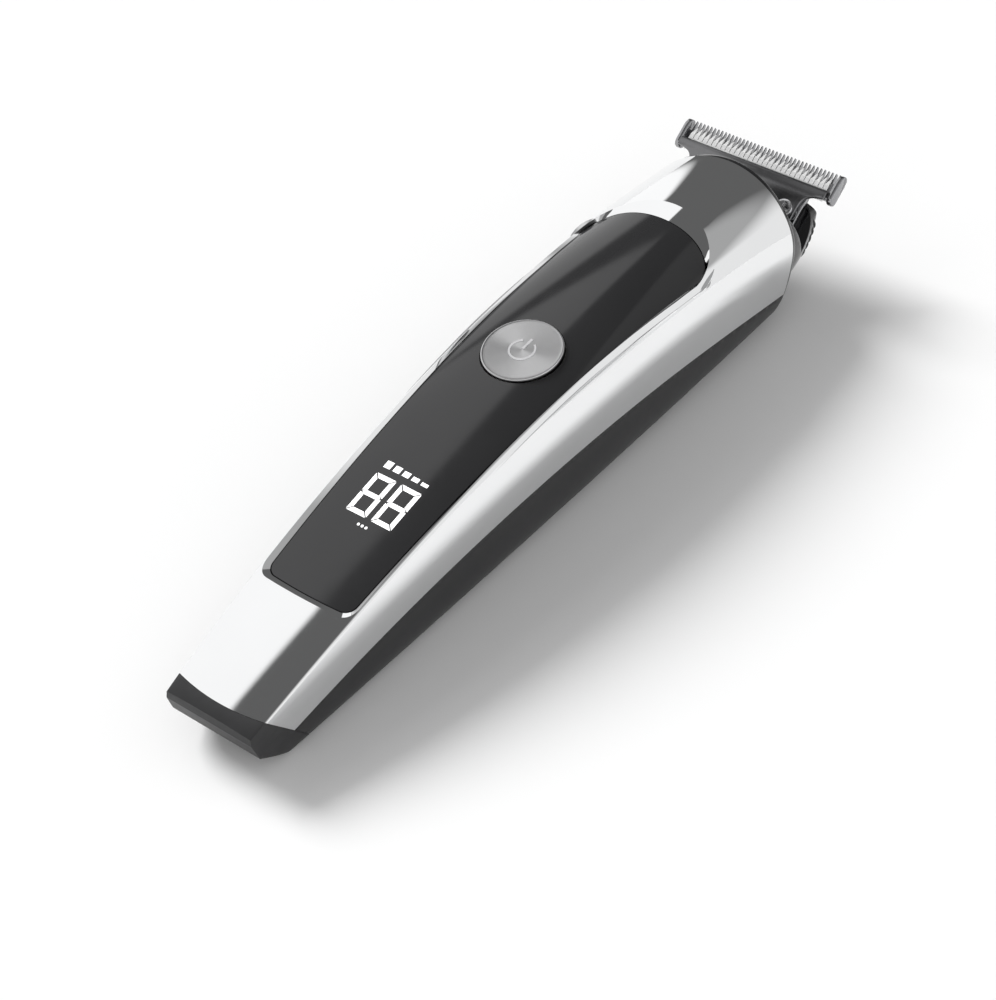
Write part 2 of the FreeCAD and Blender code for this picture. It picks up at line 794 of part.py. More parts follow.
def teeth(count, half, root, tip, n0, n1, share):
    """Straight teeth across the blade, from the root line out to the tip line."""
    pitch = 2 * half / count
    width = pitch * share
    shapes = []
    for i in range(count):
        y = -half + pitch * (i + 0.5)
        shapes.append(blade_slab(root, tip, n0, n1, y - width / 2, y + width / 2))
    return shapes


def fixed_blade():
    t = blade_thickness
    band = blade_slab(blade_heel, tooth_root, -t, 0, -blade_half, blade_half)
    guards = []
    for side in (-1, 1):
        inner_y = side * (blade_half - end_tooth)
        outer_y = side * blade_half
        corners = [blade_point(s, n) for s, n in ((-0.9, -t), (-0.2, -0.5), (-0.2, 0.6), (-1.4, 1.4),
                                                  (blade_heel, 1.4), (blade_heel - 0.9, 0.2),
                                                  (blade_heel - 0.5, -t))]
        guards.append(prism_y(corners, min(inner_y, outer_y), max(inner_y, outer_y)))
    arms = []
    for y in (-blade_screw_y, blade_screw_y):
        arms.append(blade_slab(blade_tail, blade_heel + 0.1, -t, 0, y - arm_half, y + arm_half))
    row = teeth(fixed_teeth, blade_half - end_tooth, tooth_root - 0.1, 0, -t, 0, 0.5)
    whole = fuse([band] + guards + arms + row)
    for y in (-blade_screw_y, blade_screw_y):
        whole = whole.cut(blade_rod(blade_screw_along, y, -3, 3, blade_hole_radius))
    return whole


def moving_blade():
    n0 = cutter_gap
    n1 = n0 + cutter_thickness
    band = blade_slab(-6.4, -3.4, n0, n1, -cutter_half, cutter_half)
    tail = blade_slab(-12.0, -6.3, n0, n1, -7.2, 7.2)
    row = teeth(moving_teeth, cutter_half, -3.5, -cutter_setback, n0, n1, 0.62)
    return fuse([band, tail] + row)


def cutter_yoke():
    """Plastic carrier under the moving blade, with the slot that the drive pin works in."""
    foot = blade_slab(-11.8, -8.2, -2.2, cutter_gap, -6.8, 6.8)
    arm_start = cam_start + cam_length + 1.6
    arm = block(arm_start, arm_start + 3.4, -5.0, 5.0, drive_height - 3.6, drive_height + 3.6)
    u0, z0 = blade_point(-11.8, cutter_gap)
    u1, z1 = blade_point(-8.2, -2.2)
    neck = prism_y([(arm_start, drive_height - 2.4), (arm_start + 3.4, drive_height - 3.6),
                    (u1, z1), (u0, z0)], -5.0, 5.0)
    whole = fuse([foot, arm, neck])
    reach = eccentricity + pin_radius + slot_clearance
    slot = block(arm_start - 1, arm_start + 5.2, -stroke - reach, stroke + reach,
                 drive_height - reach - 0.25, drive_height + reach + 0.25)
    return whole.cut(slot)


def guard_plate():
    """T-shaped cover over the moving blade, drawn in its own plane and laid at the blade's tilt."""
    half = blade_half - end_tooth - 0.1
    neck = plate_neck_half

    def p(s, y):
        u, z = blade_point(s, plate_low)
        return V(X(u), y, z)

    edges = []
    for side in (1, -1):
        edges.append(Part.makeLine(p(plate_top, 0), p(plate_top, side * half)))
        edges.append(Part.makeLine(p(plate_top, side * half), p(plate_shoulder, side * half)))
        sweep = Part.BezierCurve()
        sweep.setPoles([p(plate_shoulder, side * half), p(plate_shoulder - 0.2, side * (neck + 0.6)),
                        p(plate_shoulder - 1.6, side * neck), p(plate_shoulder - 3.4, side * neck)])
        edges.append(sweep.toShape())
        edges.append(Part.makeLine(p(plate_shoulder - 3.4, side * neck), p(blade_tail, side * neck)))
        edges.append(Part.makeLine(p(blade_tail, side * neck), p(blade_tail, 0)))
    outline = Part.Wire(Part.__sortEdges__(edges))
    out = V(-math.sin(blade_tilt), 0, math.cos(blade_tilt))
    plate = Part.Face(outline).extrude(out * plate_thickness)
    for y in (-blade_screw_y, blade_screw_y):
        plate = plate.cut(blade_rod(blade_screw_along, y, -3, 5, blade_hole_radius))
    return plate


def blade_spacers():
    """Sleeves that hold the guard plate clear of the moving blade."""
    sleeves = []
    for y in (-blade_screw_y, blade_screw_y):
        sleeve = blade_rod(blade_screw_along, y, 0, plate_low, 2.0)
        bore = blade_rod(blade_screw_along, y, -1, plate_low + 1, blade_hole_radius)
        sleeves.append(sleeve.cut(bore))
    return Part.makeCompound(sleeves)


def blade_screws():
    screws = []
    along = blade_screw_along
    for y in (-blade_screw_y, blade_screw_y):
        head = blade_rod(along, y, plate_high, plate_high + 0.9, 1.9)
        shank = blade_rod(along, y, -6.0, plate_high, 0.9)
        low, high = plate_high + 0.5, plate_high + 2
        slot = blade_slab(along - slot_half, along + slot_half, low, high, y - slot_reach, y + slot_reach)
        cross = blade_slab(along - slot_reach, along + slot_reach, low, high, y - slot_half, y + slot_half)
        screws.append(fuse([head, shank]).cut(slot).cut(cross))
    return Part.makeCompound(screws)


pieces = {
    "front_cover": front_cover,
    "rear_cover": rear_cover,
    "housing_screws": housing_screws,
    "tail_cap": tail_cap,
    "dc_jack": dc_jack,
    "display_panel": display_panel,
    "power_button": power_button,
    "button_plunger": button_plunger,
    "switch_stem": switch_stem,
    "tact_switch": tact_switch,
    "circuit_board": circuit_board,
    "board_screws": board_screws,
    "circuit_chips": circuit_chips,
    "display_module": display_module,
    "display_digits": display_digits,
    "battery_cell": battery_cell,
    "battery_tabs": battery_tabs,
    "chassis": chassis,
    "motor_can": motor_can,
    "motor_magnets": motor_magnets,
    "motor_armature": motor_armature,
    "motor_endcap": motor_endcap,
    "motor_terminals": motor_terminals,
    "motor_shaft": motor_shaft,
    "eccentric_cam": eccentric_cam,
    "drive_pin": drive_pin,
    "motor_mount": motor_mount,
    "motor_screws": motor_screws,
    "head_socket": head_socket,
    "head_housing": head_housing,
    "fixed_blade": fixed_blade,
    "moving_blade": moving_blade,
    "cutter_yoke": cutter_yoke,
    "guard_plate": guard_plate,
    "blade_spacers": blade_spacers,
    "blade_screws": blade_screws,
}

os.makedirs("parts", exist_ok=True)
for name, make in pieces.items():
    export(name, make())
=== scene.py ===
from contextlib import contextmanager
import math

import bmesh
import bpy
from mathutils import Matrix, Vector
from mathutils.kdtree import KDTree


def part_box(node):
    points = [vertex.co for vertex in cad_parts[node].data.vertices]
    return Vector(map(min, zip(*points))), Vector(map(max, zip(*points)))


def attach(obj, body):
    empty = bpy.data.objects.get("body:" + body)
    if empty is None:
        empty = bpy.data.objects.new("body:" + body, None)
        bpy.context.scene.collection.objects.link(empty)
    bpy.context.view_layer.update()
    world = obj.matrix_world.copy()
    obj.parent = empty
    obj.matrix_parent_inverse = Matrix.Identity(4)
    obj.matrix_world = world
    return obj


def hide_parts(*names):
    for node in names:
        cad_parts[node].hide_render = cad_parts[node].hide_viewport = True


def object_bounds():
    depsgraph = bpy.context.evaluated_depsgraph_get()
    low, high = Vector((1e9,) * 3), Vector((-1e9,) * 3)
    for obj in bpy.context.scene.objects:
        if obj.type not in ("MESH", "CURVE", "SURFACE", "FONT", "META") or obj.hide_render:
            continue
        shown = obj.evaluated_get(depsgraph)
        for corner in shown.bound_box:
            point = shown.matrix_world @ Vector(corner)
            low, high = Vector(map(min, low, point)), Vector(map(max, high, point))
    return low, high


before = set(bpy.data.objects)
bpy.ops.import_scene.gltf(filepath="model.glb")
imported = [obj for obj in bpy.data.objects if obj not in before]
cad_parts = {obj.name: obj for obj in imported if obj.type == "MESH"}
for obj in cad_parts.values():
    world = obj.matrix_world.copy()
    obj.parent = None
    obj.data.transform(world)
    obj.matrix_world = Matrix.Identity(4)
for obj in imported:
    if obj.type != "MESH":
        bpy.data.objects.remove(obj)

cad_low, cad_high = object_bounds()

# The clipper lies on its back. Lengths are millimetres until a mesh is made.
# "u" is the distance along X from the end of the tail, "s" the distance back from the tooth
# tips in the blade's own plane, and "n" the height above the fixed blade's face.
MM = 0.001
length = (cad_high.x - cad_low.x) / MM
half_length = length / 2


def node_range(node, axis):
    """Lowest and highest place of a CAD node along an axis, in millimetres."""
    low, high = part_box(node)
    return low[axis] / MM, high[axis] / MM


# ---- driving dimensions -------------------------------------------------
peak_height = 28.9
peak_from_tips = 46.3
tail_seam = 2.9
tail_front_height = 12.0
tail_seam_lean = -0.765
tail_bow_radius = 55.0
head_seam = length - 13.9
head_seam_height = 27.2
head_seam_lean = 0.3765
section_end = length - 8.6
back_skim = 0.15
parting_peak = 13.45
parting_peak_at = length - 88.0
parting_tail_height = 3.55
parting_gap = 0.06

panel_start = node_range("display_panel", 0)[0] + half_length
panel_end = node_range("display_panel", 0)[1] + half_length
panel_half_tail = 9.9
panel_half_head = 14.2
panel_inset = 0.6
panel_thickness = 1.2
button_at = sum(node_range("power_button", 0)) / 2 + half_length
button_radius = 7.85
button_proud = 0.45
digits_start = node_range("display_digits", 0)[0] + half_length
digits_end = node_range("display_digits", 0)[1] + half_length

blade_tilt = math.radians(30.0)
blade_thickness = 1.2
blade_half = (cad_high.y - cad_low.y) / 2 / MM
blade_tips = length - blade_thickness * math.sin(blade_tilt)
tip_height = 22.3
end_tooth = 1.2
stroke = 0.8
fixed_teeth = 40
moving_teeth = 30

peak_at = length - peak_from_tips
front_bend = (peak_height - tail_front_height) / (peak_at - tail_seam) ** 2


# ---- the body's shape ---------------------------------------------------
def front_height(u):
    return peak_height - front_bend * (u - peak_at) ** 2


def section_rules(u, inset):
    """Sizes of the body's outline square to X, the same rules as the casing's."""
    t = min(max(u / section_end, 0.0), 1.0)
    crease = 10.0 + 5.2 * t ** 0.75 - inset
    belt_half = 10.4 + 7.9 * (1 - (1 - t) ** 1.5) - inset
    crown = 0.3 + 7.3 * t ** 3
    belt = 5.5 + 8.0 * t
    back_half = min(8.0 + 2.5 * t, belt_half - 1.5)
    shoulder = math.radians(84 - 34 * math.sin(math.pi / 2 * t))
    return crease, belt_half, crown, belt, back_half, shoulder, front_height(u) - inset


def bezier(points, t):
    a, b, c, d = points
    r = 1 - t
    return tuple(r ** 3 * p + 3 * r * r * t * q + 3 * r * t * t * v + t ** 3 * w
                 for p, q, v, w in zip(a, b, c, d))


crease_round = 0.045


def outline_at(u, w, inset=0.0):
    """Point (y, z) of the outline. w runs 0 front centre, 1 crease, 2 belt, 3 edge of the back,
    4 centre of the back."""
    crease, belt_half, crown, belt, back_half, shoulder, top = section_rules(u, inset)
    corner = (crease, top - crown)
    if w <= 1.0:
        w *= 1 - crease_round
        return crease * (9 * w - w ** 3) / 8, top - crown * w * w
    if w < 1 + crease_round:
        a, b = outline_at(u, 1.0, inset), outline_at(u, 1 + crease_round, inset)
        t = (w - 1) / crease_round
        return tuple((1 - t) ** 2 * p + 2 * t * (1 - t) * q + t * t * r
                     for p, q, r in zip(a, corner, b))
    side = (belt_half, belt)
    back = (back_half, inset - back_skim)
    if w <= 2.0:
        reach = 0.38 * math.hypot(corner[0] - side[0], corner[1] - side[1])
        lean = (corner[0] + reach * math.cos(shoulder), corner[1] - reach * math.sin(shoulder))
        return bezier((corner, lean, (side[0], side[1] + reach), side), w - 1)
    if w <= 3.0:
        under = (side[0], side[1] - 0.72 * (side[1] - back[1]))
        inner = (back[0] + 0.72 * (side[0] - back[0]), back[1])
        y, z = bezier((side, under, inner, back), w - 2)
        return y, max(z, inset * 0.9)
    return back_half * (4 - w), max(back[1], inset * 0.9)


def crown_share(u, y, inset=0.0):
    """The w at which the front face is y from the middle; it runs a little past the crease."""
    crease = section_rules(u, inset)[0]
    w = abs(y) / crease * 8 / 9
    for _ in range(6):
        w -= (crease * (9 * w - w ** 3) / 8 - abs(y)) / (crease * (9 - 3 * w * w) / 8)
    return w


def crown_point(u, y, inset=0.0, lift=0.0):
    """A point on the front face in plan, continued past the creases by the same curve."""
    rules = section_rules(u, inset)
    crown, top = rules[2], rules[6]
    w = crown_share(u, y, inset)
    return (u - half_length, y, top - crown * w * w + lift)


def parting_height(u):
    drop = parting_peak - parting_tail_height
    radius = (parting_peak_at ** 2 + drop ** 2) / (2 * drop)
    return parting_peak - radius + math.sqrt(radius ** 2 - (u - parting_peak_at) ** 2)


def halving(low, high, rounds, goes_on):
    """The place between low and high up to which goes_on is true."""
    for _ in range(rounds):
        middle = (low + high) / 2
        if goes_on(middle):
            low = middle
        else:
            high = middle
    return (low + high) / 2


def parting_share(u, offset):
    """The w at which the outline passes the parting line."""
    goal = parting_height(u) + offset
    return halving(1.0, 3.0, 30, lambda w: outline_at(u, w)[1] > goal)


def tail_seam_u(y, z):
    bow = tail_bow_radius - math.sqrt(tail_bow_radius ** 2 - y * y)
    lean = tail_seam_lean * (z - tail_front_height)
    return tail_seam + bow * math.hypot(1, tail_seam_lean) + lean


def head_seam_u(y, z):
    return head_seam + head_seam_lean * (z - head_seam_height)


def meet(seam, share, offset=0.0):
    """Where a lengthwise line of the body meets a seam; share(u) gives the line's w."""
    u = 5.0 if seam is tail_seam_u else head_seam
    for _ in range(25):
        y, z = outline_at(u, share(u))
        u = seam(y, z) + offset
    return u


def body_point(u, w, side, inset=0.0):
    y, z = outline_at(u, w, inset)
    return (u - half_length, side * y, z)


def signed_point(u, w, inset=0.0):
    """A point of the body for a w that is negative on the -y side."""
    return body_point(u, abs(w), 1 if w >= 0 else -1, inset)


# ---- mesh helpers -------------------------------------------------------
@contextmanager
def editing(mesh):
    """A bmesh of a mesh, written back to it afterwards."""
    bm = bmesh.new()
    bm.from_mesh(mesh)
    yield bm
    bm.to_mesh(mesh)
    bm.free()


def linked(name, data):
    """A new object in the scene."""
    made = bpy.data.objects.new(name, data)
    bpy.context.scene.collection.objects.link(made)
    return made


def new_piece(name, points, faces, material, smooth=True, merge=1e-6):
    """A mesh object from points in millimetres."""
    mesh = bpy.data.meshes.new(name)
    mesh.from_pydata([(x * MM, y * MM, z * MM) for x, y, z in points], [], faces)
    with editing(mesh) as bm:
        bmesh.ops.remove_doubles(bm, verts=bm.verts, dist=merge)
        bmesh.ops.dissolve_degenerate(bm, dist=1e-7, edges=bm.edges)
        bmesh.ops.recalc_face_normals(bm, faces=bm.faces)
    mesh.polygons.foreach_set("use_smooth", [smooth] * len(mesh.polygons))
    mesh.materials.append(material)
    return linked(name, mesh)


class Sheet:
    """Collects grids of points into one mesh."""

    def __init__(self):
        self.points = []
        self.faces = []

    def grid(self, rows, closed=False):
        start = len(self.points)
        width = len(rows[0])
        for row in rows:
            self.points += row
        for i in range(len(rows) - 1):
            for j in range(width if closed else width - 1):
                a = start + i * width + j
                b = start + i * width + (j + 1) % width
                self.faces.append((a, b, b + width, a + width))

    def fan(self, ring, centre):
        start = len(self.points)
        self.points += list(ring) + [centre]
        count = len(ring)
        for j in range(count):
            self.faces.append((start + j, start + (j + 1) % count, start + count))

    def cap(self, ring, turned=False):
        """One face over a ring of points."""
        start = len(self.points)
        self.points += ring
        order = range(start, start + len(ring))
        self.faces.append(tuple(reversed(order)) if turned else tuple(order))


def face_out(piece, outward):
    """Turns all faces round if most of their area faces away from outward(centre)."""
    with editing(piece.data) as bm:
        vote = sum(f.normal.dot(outward(f.calc_center_median())) * f.calc_area() for f in bm.faces)
        if vote < 0:
            bmesh.ops.reverse_faces(bm, faces=bm.faces)


def finish_mesh(piece, bevel=0.0, solid=0.0, angle=30.0, segments=2):
    """Gives a sheet its wall, rounds its sharp edges and applies both."""
    if solid:
        wall = piece.modifiers.new("wall", "SOLIDIFY")
        wall.thickness = solid * MM
        wall.offset = -1
    if bevel:
        edge = piece.modifiers.new("edge", "BEVEL")
        edge.width = bevel * MM
        edge.segments = segments
        edge.limit_method = "ANGLE"
        edge.angle_limit = math.radians(angle)
        edge.harden_normals = True
        edge.use_clamp_overlap = True
    apply_modifiers(piece)


def apply_modifiers(piece):
    depsgraph = bpy.context.evaluated_depsgraph_get()
    made = bpy.data.meshes.new_from_object(piece.evaluated_get(depsgraph))
    piece.modifiers.clear()
    piece.data = made
    return piece


def copy_of_node(name, new_name, material, bevel=0.12, angle=35.0):
    """A merged, smooth-shaded copy of a CAD node with its sharp edges rounded."""
    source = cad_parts[name]
    bm = bmesh.new()
    bm.from_mesh(source.data)
    bmesh.ops.remove_doubles(bm, verts=bm.verts, dist=2e-6)
    bmesh.ops.dissolve_limit(bm, angle_limit=math.radians(0.6), verts=bm.verts, edges=bm.edges)
    mesh = bpy.data.meshes.new(new_name)
    bm.to_mesh(mesh)
    bm.free()
    mesh.materials.clear()
    mesh.materials.append(material)
    mesh.polygons.foreach_set("use_smooth", [True] * len(mesh.polygons))
    piece = linked(new_name, mesh)
    finish_mesh(piece, bevel=bevel, angle=angle)
    return piece


def place(piece, body, slot, *nodes):
    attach(piece, body)
    if nodes:
        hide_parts(*nodes)


# ---- materials ----------------------------------------------------------
class Finish:
    """A Principled material with its procedural detail on Object coordinates."""

    def __init__(self, name, color, metallic=0.0, roughness=0.4):
        self.material = bpy.data.materials.new(name)
        self.material.use_nodes = True
        self.nodes = self.material.node_tree.nodes
        self.links = self.material.node_tree.links
        self.shader = self.nodes["Principled BSDF"]
        self.shader.inputs["Base Color"].default_value = (*color, 1)
        self.shader.inputs["Metallic"].default_value = metallic
        self.shader.inputs["Roughness"].default_value = roughness
        self.where = self.nodes.new("ShaderNodeTexCoord").outputs["Object"]
        self.bump = None

    def set(self, **values):
        for key, value in values.items():
            self.shader.inputs[key.replace("_", " ")].default_value = value
        return self

    def mapped(self, location=(0, 0, 0), rotation=(0, 0, 0), scale=(1, 1, 1)):
        mapping = self.nodes.new("ShaderNodeMapping")
        mapping.vector_type = "TEXTURE" if location != (0, 0, 0) else "POINT"
        mapping.inputs["Location"].default_value = location
        mapping.inputs["Rotation"].default_value = rotation
        mapping.inputs["Scale"].default_value = scale
        self.links.new(self.where, mapping.inputs["Vector"])
        return mapping.outputs["Vector"]

    def noise(self, scale, detail=3.0, vector=None, rough=0.5):
        node = self.nodes.new("ShaderNodeTexNoise")
        node.inputs["Scale"].default_value = scale
        node.inputs["Detail"].default_value = detail
        node.inputs["Roughness"].default_value = rough
        self.links.new(vector or self.where, node.inputs["Vector"])
        return node.outputs["Fac"]

    def wave(self, scale, kind="BANDS", direction="X", vector=None, distortion=0.0):
        node = self.nodes.new("ShaderNodeTexWave")
        node.wave_type = kind
        if kind == "BANDS":
            node.bands_direction = direction
        else:
            node.rings_direction = direction
        node.inputs["Scale"].default_value = scale
        node.inputs["Distortion"].default_value = distortion
        self.links.new(vector or self.where, node.inputs["Vector"])
        return node.outputs["Fac"]

    def span(self, value, low, high):
        node = self.nodes.new("ShaderNodeMapRange")
        node.inputs["To Min"].default_value = low
        node.inputs["To Max"].default_value = high
        self.links.new(value, node.inputs["Value"])
        return node.outputs["Result"]

    def blend_color(self, value, first, second):
        node = self.nodes.new("ShaderNodeMix")
        node.data_type = "RGBA"
        node.inputs["A"].default_value = (*first, 1)
        node.inputs["B"].default_value = (*second, 1)
        self.links.new(value, node.inputs["Factor"])
        self.links.new(node.outputs["Result"], self.shader.inputs["Base Color"])
        return self

    def rough(self, value, low, high):
        self.links.new(self.span(value, low, high), self.shader.inputs["Roughness"])
        return self

    def height(self, value, strength, depth):
        node = self.nodes.new("ShaderNodeBump")
        node.inputs["Strength"].default_value = strength
        node.inputs["Distance"].default_value = depth * MM
        self.links.new(value, node.inputs["Height"])
        if self.bump:
            self.links.new(self.bump, node.inputs["Normal"])
        self.bump = node.outputs["Normal"]
        self.links.new(self.bump, self.shader.inputs["Normal"])
        return self


def speckled(name, metallic, colors, gloss, tint_noise, gloss_noise, bump_noise, bump, **values):
    """A finish whose colour, roughness and bump each follow a noise of (scale, detail).
    colors are the plain, first and second colour; gloss the plain, low and high roughness."""
    f = Finish(name, colors[0], metallic, gloss[0]).set(**values)
    f.blend_color(f.noise(*tint_noise), colors[1], colors[2])
    f.rough(f.noise(*gloss_noise), gloss[1], gloss[2])
    f.height(f.noise(*bump_noise), *bump)
    return f.material


def digit_finish():
    f = Finish("lit_white", (0.9, 0.9, 0.9), 0.0, 0.5)
    glow = f.noise(2600, 2)
    f.blend_color(glow, (0.86, 0.86, 0.86), (0.95, 0.95, 0.95))
    f.shader.inputs["Emission Color"].default_value = (1, 1, 1, 1)
    f.shader.inputs["Emission Strength"].default_value = 0.75
    return f.material


def button_finish(centre, tilt):
    """Turned aluminium: fine rings round the button's axis and an anisotropic sheen along them."""
    f = Finish("turned_aluminium", (0.6, 0.6, 0.605), 1.0, 0.3).set(Anisotropic=0.92)
    across = f.mapped(centre, (0, -tilt, 0))
    rings = f.wave(1700, "RINGS", "Z", across)
    f.blend_color(rings, (0.5, 0.5, 0.505), (0.68, 0.68, 0.685))
    f.height(rings, 0.1, 0.008)
    f.rough(f.noise(900, 3), 0.26, 0.34)
    tangent = f.nodes.new("ShaderNodeTangent")
    tangent.direction_type = "UV_MAP"
    tangent.uv_map = "UVMap"
    f.links.new(tangent.outputs["Tangent"], f.shader.inputs["Tangent"])
    return f.material


def shades(color, dark, light):
    return tuple(c * dark for c in color), tuple(min(1, c * light) for c in color)


def steel_finish(name, color, low, high, brush_scale=(60, 2600, 2600), depth=0.006):
    f = Finish(name, color, 1.0, (low + high) / 2)
    brushed = f.noise(1.0, 4, f.mapped(scale=brush_scale))
    f.blend_color(brushed, *shades(color, 0.86, 1.1))
    f.rough(brushed, low, high)
    f.height(brushed, 0.3, depth)
    return f.material


def plastic_finish(name, color, low=0.4, high=0.55, grain=3000):
    f = Finish(name, color, 0.0, (low + high) / 2)
    f.blend_color(f.noise(150, 3), *shades(color, 0.85, 1.12))
    f.rough(f.noise(600, 3), low, high)
    f.height(f.noise(grain, 2), 0.2, 0.015)
    return f.material


def board_finish():
    f = Finish("circuit_board_mask", (0.02, 0.14, 0.07), 0.0, 0.35)
    tracks = f.wave(260, "BANDS", "Y", None, 6.0)
    f.blend_color(tracks, (0.015, 0.11, 0.055), (0.03, 0.19, 0.1))
    f.rough(f.noise(400, 3), 0.28, 0.42)
    f.height(tracks, 0.4, 0.03)
    return f.material


def winding_finish():
    f = Finish("copper_windings", (0.5, 0.2, 0.08), 1.0, 0.35)
    turns = f.wave(700, "BANDS", "X")
    f.blend_color(turns, (0.32, 0.12, 0.05), (0.72, 0.32, 0.14))
    f.rough(f.noise(500, 3), 0.28, 0.4)
    f.height(turns, 0.6, 0.05)
    return f.material


def floor_finish():
    f = Finish("pale_floor", (0.86, 0.86, 0.86), 0.0, 0.75)
    f.blend_color(f.noise(6, 3), (0.85, 0.85, 0.85), (0.87, 0.87, 0.87))
    f.rough(f.noise(40, 3), 0.7, 0.8)
    return f.material


button_slope = math.atan(-2 * front_bend * (button_at - peak_at))
button_face = front_height(button_at) - panel_inset
button_axis = Vector((-math.sin(button_slope), 0, math.cos(button_slope)))
button_seat = Vector((button_at - half_length, 0, button_face))

chrome = speckled(
    "chrome_plate", 1.0, ((0.86, 0.865, 0.87), (0.84, 0.845, 0.85), (0.88, 0.885, 0.89)),
    (0.03, 0.015, 0.05), (60, 4), (220, 5), (1400, 2), (0.02, 0.01))
satin_black = speckled(
    "satin_black_plastic", 0.0, ((0.02, 0.02, 0.021), (0.016, 0.016, 0.017), (0.024, 0.024, 0.025)),
    (0.38, 0.33, 0.44), (90, 3), (500, 3), (5200, 2), (0.25, 0.012), Specular_IOR_Level=0.5)
matte_cap = speckled(
    "matte_cap_plastic", 0.0, ((0.022, 0.022, 0.023), (0.018, 0.018, 0.019), (0.026, 0.026, 0.027)),
    (0.5, 0.45, 0.58), (120, 3), (700, 3), (4200, 2), (0.35, 0.02))
gloss_black = speckled(
    "gloss_black_plastic", 0.0, ((0.008, 0.008, 0.009), (0.006, 0.006, 0.007), (0.011, 0.011, 0.012)),
    (0.12, 0.08, 0.18), (70, 3), (260, 4), (900, 2), (0.03, 0.01), Coat_Weight=0.6, Coat_Roughness=0.05)
panel_lens = speckled(
    "panel_lens", 0.0, ((0.022, 0.022, 0.023), (0.019, 0.019, 0.02), (0.026, 0.026, 0.027)),
    (0.09, 0.06, 0.13), (45, 2), (320, 4), (700, 2), (0.015, 0.01), Specular_IOR_Level=0.5)
lit_white = digit_finish()
turned = button_finish(tuple(button_seat * MM), button_slope)
symbol_steel = steel_finish("symbol_metal", (0.7, 0.7, 0.71), 0.18, 0.3)
fixed_steel = steel_finish("fixed_blade_steel", (0.34, 0.34, 0.35), 0.16, 0.3)
moving_steel = steel_finish("moving_blade_steel", (0.9, 0.9, 0.9), 0.3, 0.42)
moving_steel.node_tree.nodes["Principled BSDF"].inputs["Metallic"].default_value = 0.5
plate_steel = steel_finish("satin_plate_steel", (0.2, 0.2, 0.205), 0.32, 0.45)
screw_zinc = steel_finish("zinc_plate", (0.55, 0.55, 0.56), 0.2, 0.34, (900, 900, 900))
screw_dark = steel_finish("blackened_screw", (0.07, 0.07, 0.075), 0.3, 0.45, (900, 900, 900))
motor_steel = steel_finish("drawn_motor_steel", (0.45, 0.45, 0.46), 0.22, 0.36)
nickel = steel_finish("nickel_strip", (0.66, 0.62, 0.55), 0.2, 0.32)
brass = steel_finish("brass_tabs", (0.75, 0.55, 0.24), 0.2, 0.34)
ferrite = plastic_finish("ferrite_magnet", (0.05, 0.05, 0.052), 0.6, 0.75, 1800)
acetal = plastic_finish("white_acetal", (0.75, 0.75, 0.73))
chip_resin = plastic_finish("chip_resin", (0.02, 0.02, 0.022), 0.35, 0.5)
battery_wrap = plastic_finish("battery_sleeve", (0.05, 0.16, 0.4), 0.2, 0.3, 900)
circuit_green = board_finish()
windings = winding_finish()


# ---- panel outline ------------------------------------------------------
foot_count, corner_count, flank_count, turn_count = 15, 15, 90, 54
tail_columns, head_columns = 17, 28


def panel_half_outline(start, end, tail_half, head_half, shoulder, bulge, corner=2.5, bow=0.3):
    """Half of the panel's rounded outline as (u, y), from mid foot to mid head."""
    side_end = end - shoulder
    corner_run = corner * 1.15
    flank_start = start + corner_run
    points = []
    for i in range(foot_count):
        t = i / foot_count
        y = t * (tail_half - corner)
        points.append((start + bow * (y / (tail_half - corner)) ** 2, y))
    for i in range(corner_count):
        a = math.pi / 2 * i / corner_count
        points.append((start + bow + (corner_run - bow) * (1 - math.cos(a)),
                       tail_half - corner + corner * math.sin(a)))
    for i in range(flank_count):
        t = i / flank_count
        points.append((flank_start + t * (side_end - flank_start),
                       tail_half + t * (head_half - tail_half)))
    for i in range(turn_count + 1):
        t = i / turn_count
        points.append(bezier(((side_end, head_half), (end - 2.8, head_half + bulge),
                              (end, head_half * 0.62), (end, 0.0)), t))
    return points


def mirrored_loop(half):
    """Closed loop from a half outline: out along +y, back along -y."""
    return half + [(u, -y) for u, y in reversed(half[1:-1])]


def opening_half(grow):
    return panel_half_outline(panel_start - grow, panel_end + grow, panel_half_tail + grow,
                              panel_half_head + grow, 8.5, 0.2)


# ---- casings ------------------------------------------------------------
bezel_foot = 1.3
bezel_head = 4.4
bezel_spread = 0.055
bezel_rings = 4
bezel_sink = 0.05
lens_gap = 0.15
lip_depth = 0.9
patch_rings = 14
chrome_wall = 1.4
chrome_bevel_angle = 78      # steeper than the bezel's own facets, so only real edges are rounded
shell_wall = 1.6
screw_head_radius = 1.9
screw_recess_radius = 2.15
tail_screws_half_gap = 6.0
tail_recess_top, middle_recess_top = 3.0, 5.0
first_groove, groove_pitch, groove_count = 62.0, 5.0, 9
# shares of the way from the crease to the parting line: close together near the crease
shoulder_steps = [0, 0.008, 0.016, 0.025, 0.035, 0.045, 0.06, 0.08, 0.11, 0.15]
shoulder_steps += [0.15 + 0.85 * i / 18 for i in range(1, 19)]


def cover_share(u, y):
    """The w of a place on the cover seen from the front; past the crease it is the shoulder's."""
    return halving(0.0, 2.0, 44, lambda w: outline_at(u, w)[0] < y)


